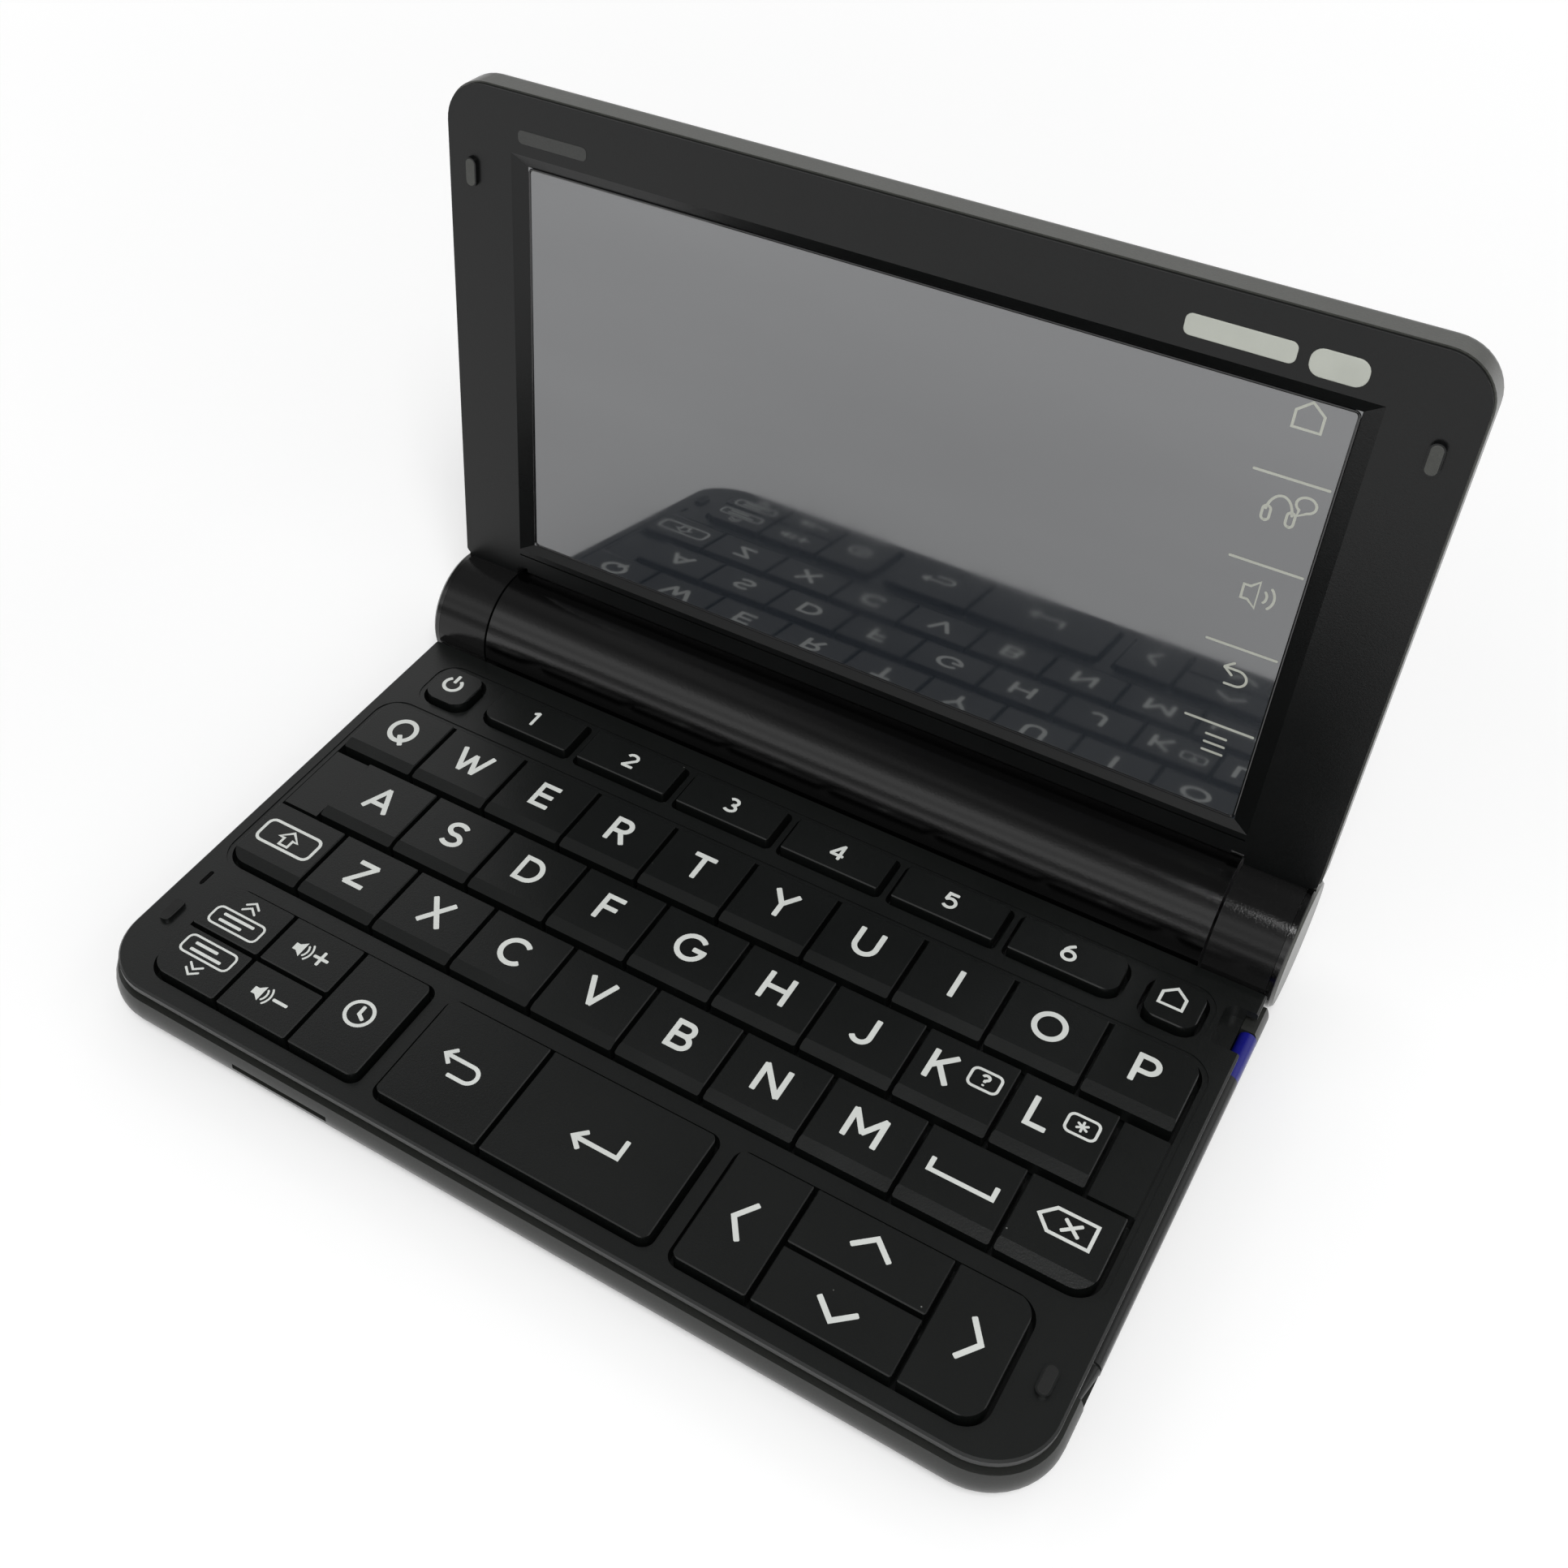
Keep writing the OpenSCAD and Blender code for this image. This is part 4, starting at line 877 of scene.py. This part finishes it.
def build_camera():
    cam = bpy.data.cameras.new("camera")
    cam.sensor_width = SENSOR
    cam.lens = FOCAL / IMAGE * SENSOR
    cam.shift_x = (IMAGE / 2 - CENTRE[0]) / IMAGE
    cam.shift_y = (CENTRE[1] - IMAGE / 2) / IMAGE
    cam.clip_start, cam.clip_end = 0.01, 20
    obj = add_object("camera", cam)
    turn = Matrix.Rotation(CAMERA_TURN.length, 3, CAMERA_TURN.normalized()).transposed()
    turn @= Matrix.Diagonal((1, -1, -1))
    obj.matrix_world = Matrix.Translation(CAMERA_PLACE) @ turn.to_4x4()
    bpy.context.scene.camera = obj


def build_light():
    """One square lamp, over the front right, aimed at the origin."""
    data = bpy.data.lights.new("key_light", "AREA")
    data.size = LAMP_SIDE
    data.energy = LAMP_POWER
    obj = add_object("key_light", data)
    obj.location = LAMP_PLACE
    obj.rotation_euler = (-LAMP_PLACE).to_track_quat("-Z", "Y").to_euler()


def build_world():
    """Walls and a ceiling that light the object, behind a white background."""
    world = bpy.data.worlds.new("studio")
    bpy.context.scene.world = world
    world.use_nodes = True
    w = Tree(world.node_tree)
    walls = w.tree.nodes["Background"]
    rise = w.split(w.add("ShaderNodeTexCoord").outputs["Generated"])["Z"]
    ramp = w.add("ShaderNodeValToRGB")
    stops = ramp.color_ramp.elements
    for position, _ in WALLS[1:-1]:
        stops.new(position)
    for stop, (_, level) in zip(stops, WALLS):
        stop.color = (level, level, level, 1)
    w.link(rise, ramp.inputs["Fac"])
    w.link(ramp.outputs["Color"], walls.inputs["Color"])
    # Where the camera sees past the floor, or looks through glass, there is white instead, and
    # so there is near the horizon for what is glossy
    white = w.add("ShaderNodeBackground", Color=(1, 1, 1, 1))
    rays = w.add("ShaderNodeLightPath").outputs
    low = w.math("LESS_THAN", rise, HORIZON)
    seen = w.math("MAXIMUM", rays["Is Camera Ray"], rays["Is Transmission Ray"])
    seen = w.math("MAXIMUM", seen, w.math("MULTIPLY", low, rays["Is Glossy Ray"]))
    mix = w.add("ShaderNodeMixShader")
    w.link(seen, mix.inputs["Fac"])
    w.link(walls.outputs[0], mix.inputs[1])
    w.link(white.outputs[0], mix.inputs[2])
    w.link(mix.outputs[0], w.tree.nodes["World Output"].inputs["Surface"])


key_legends()
blank_plates()
glass_marks()
glass_bead()
bumper_caps()
mic_slit()
underside()

build_stage()
build_camera()
build_light()
build_world()
bpy.context.scene.view_settings.view_transform = "Standard"
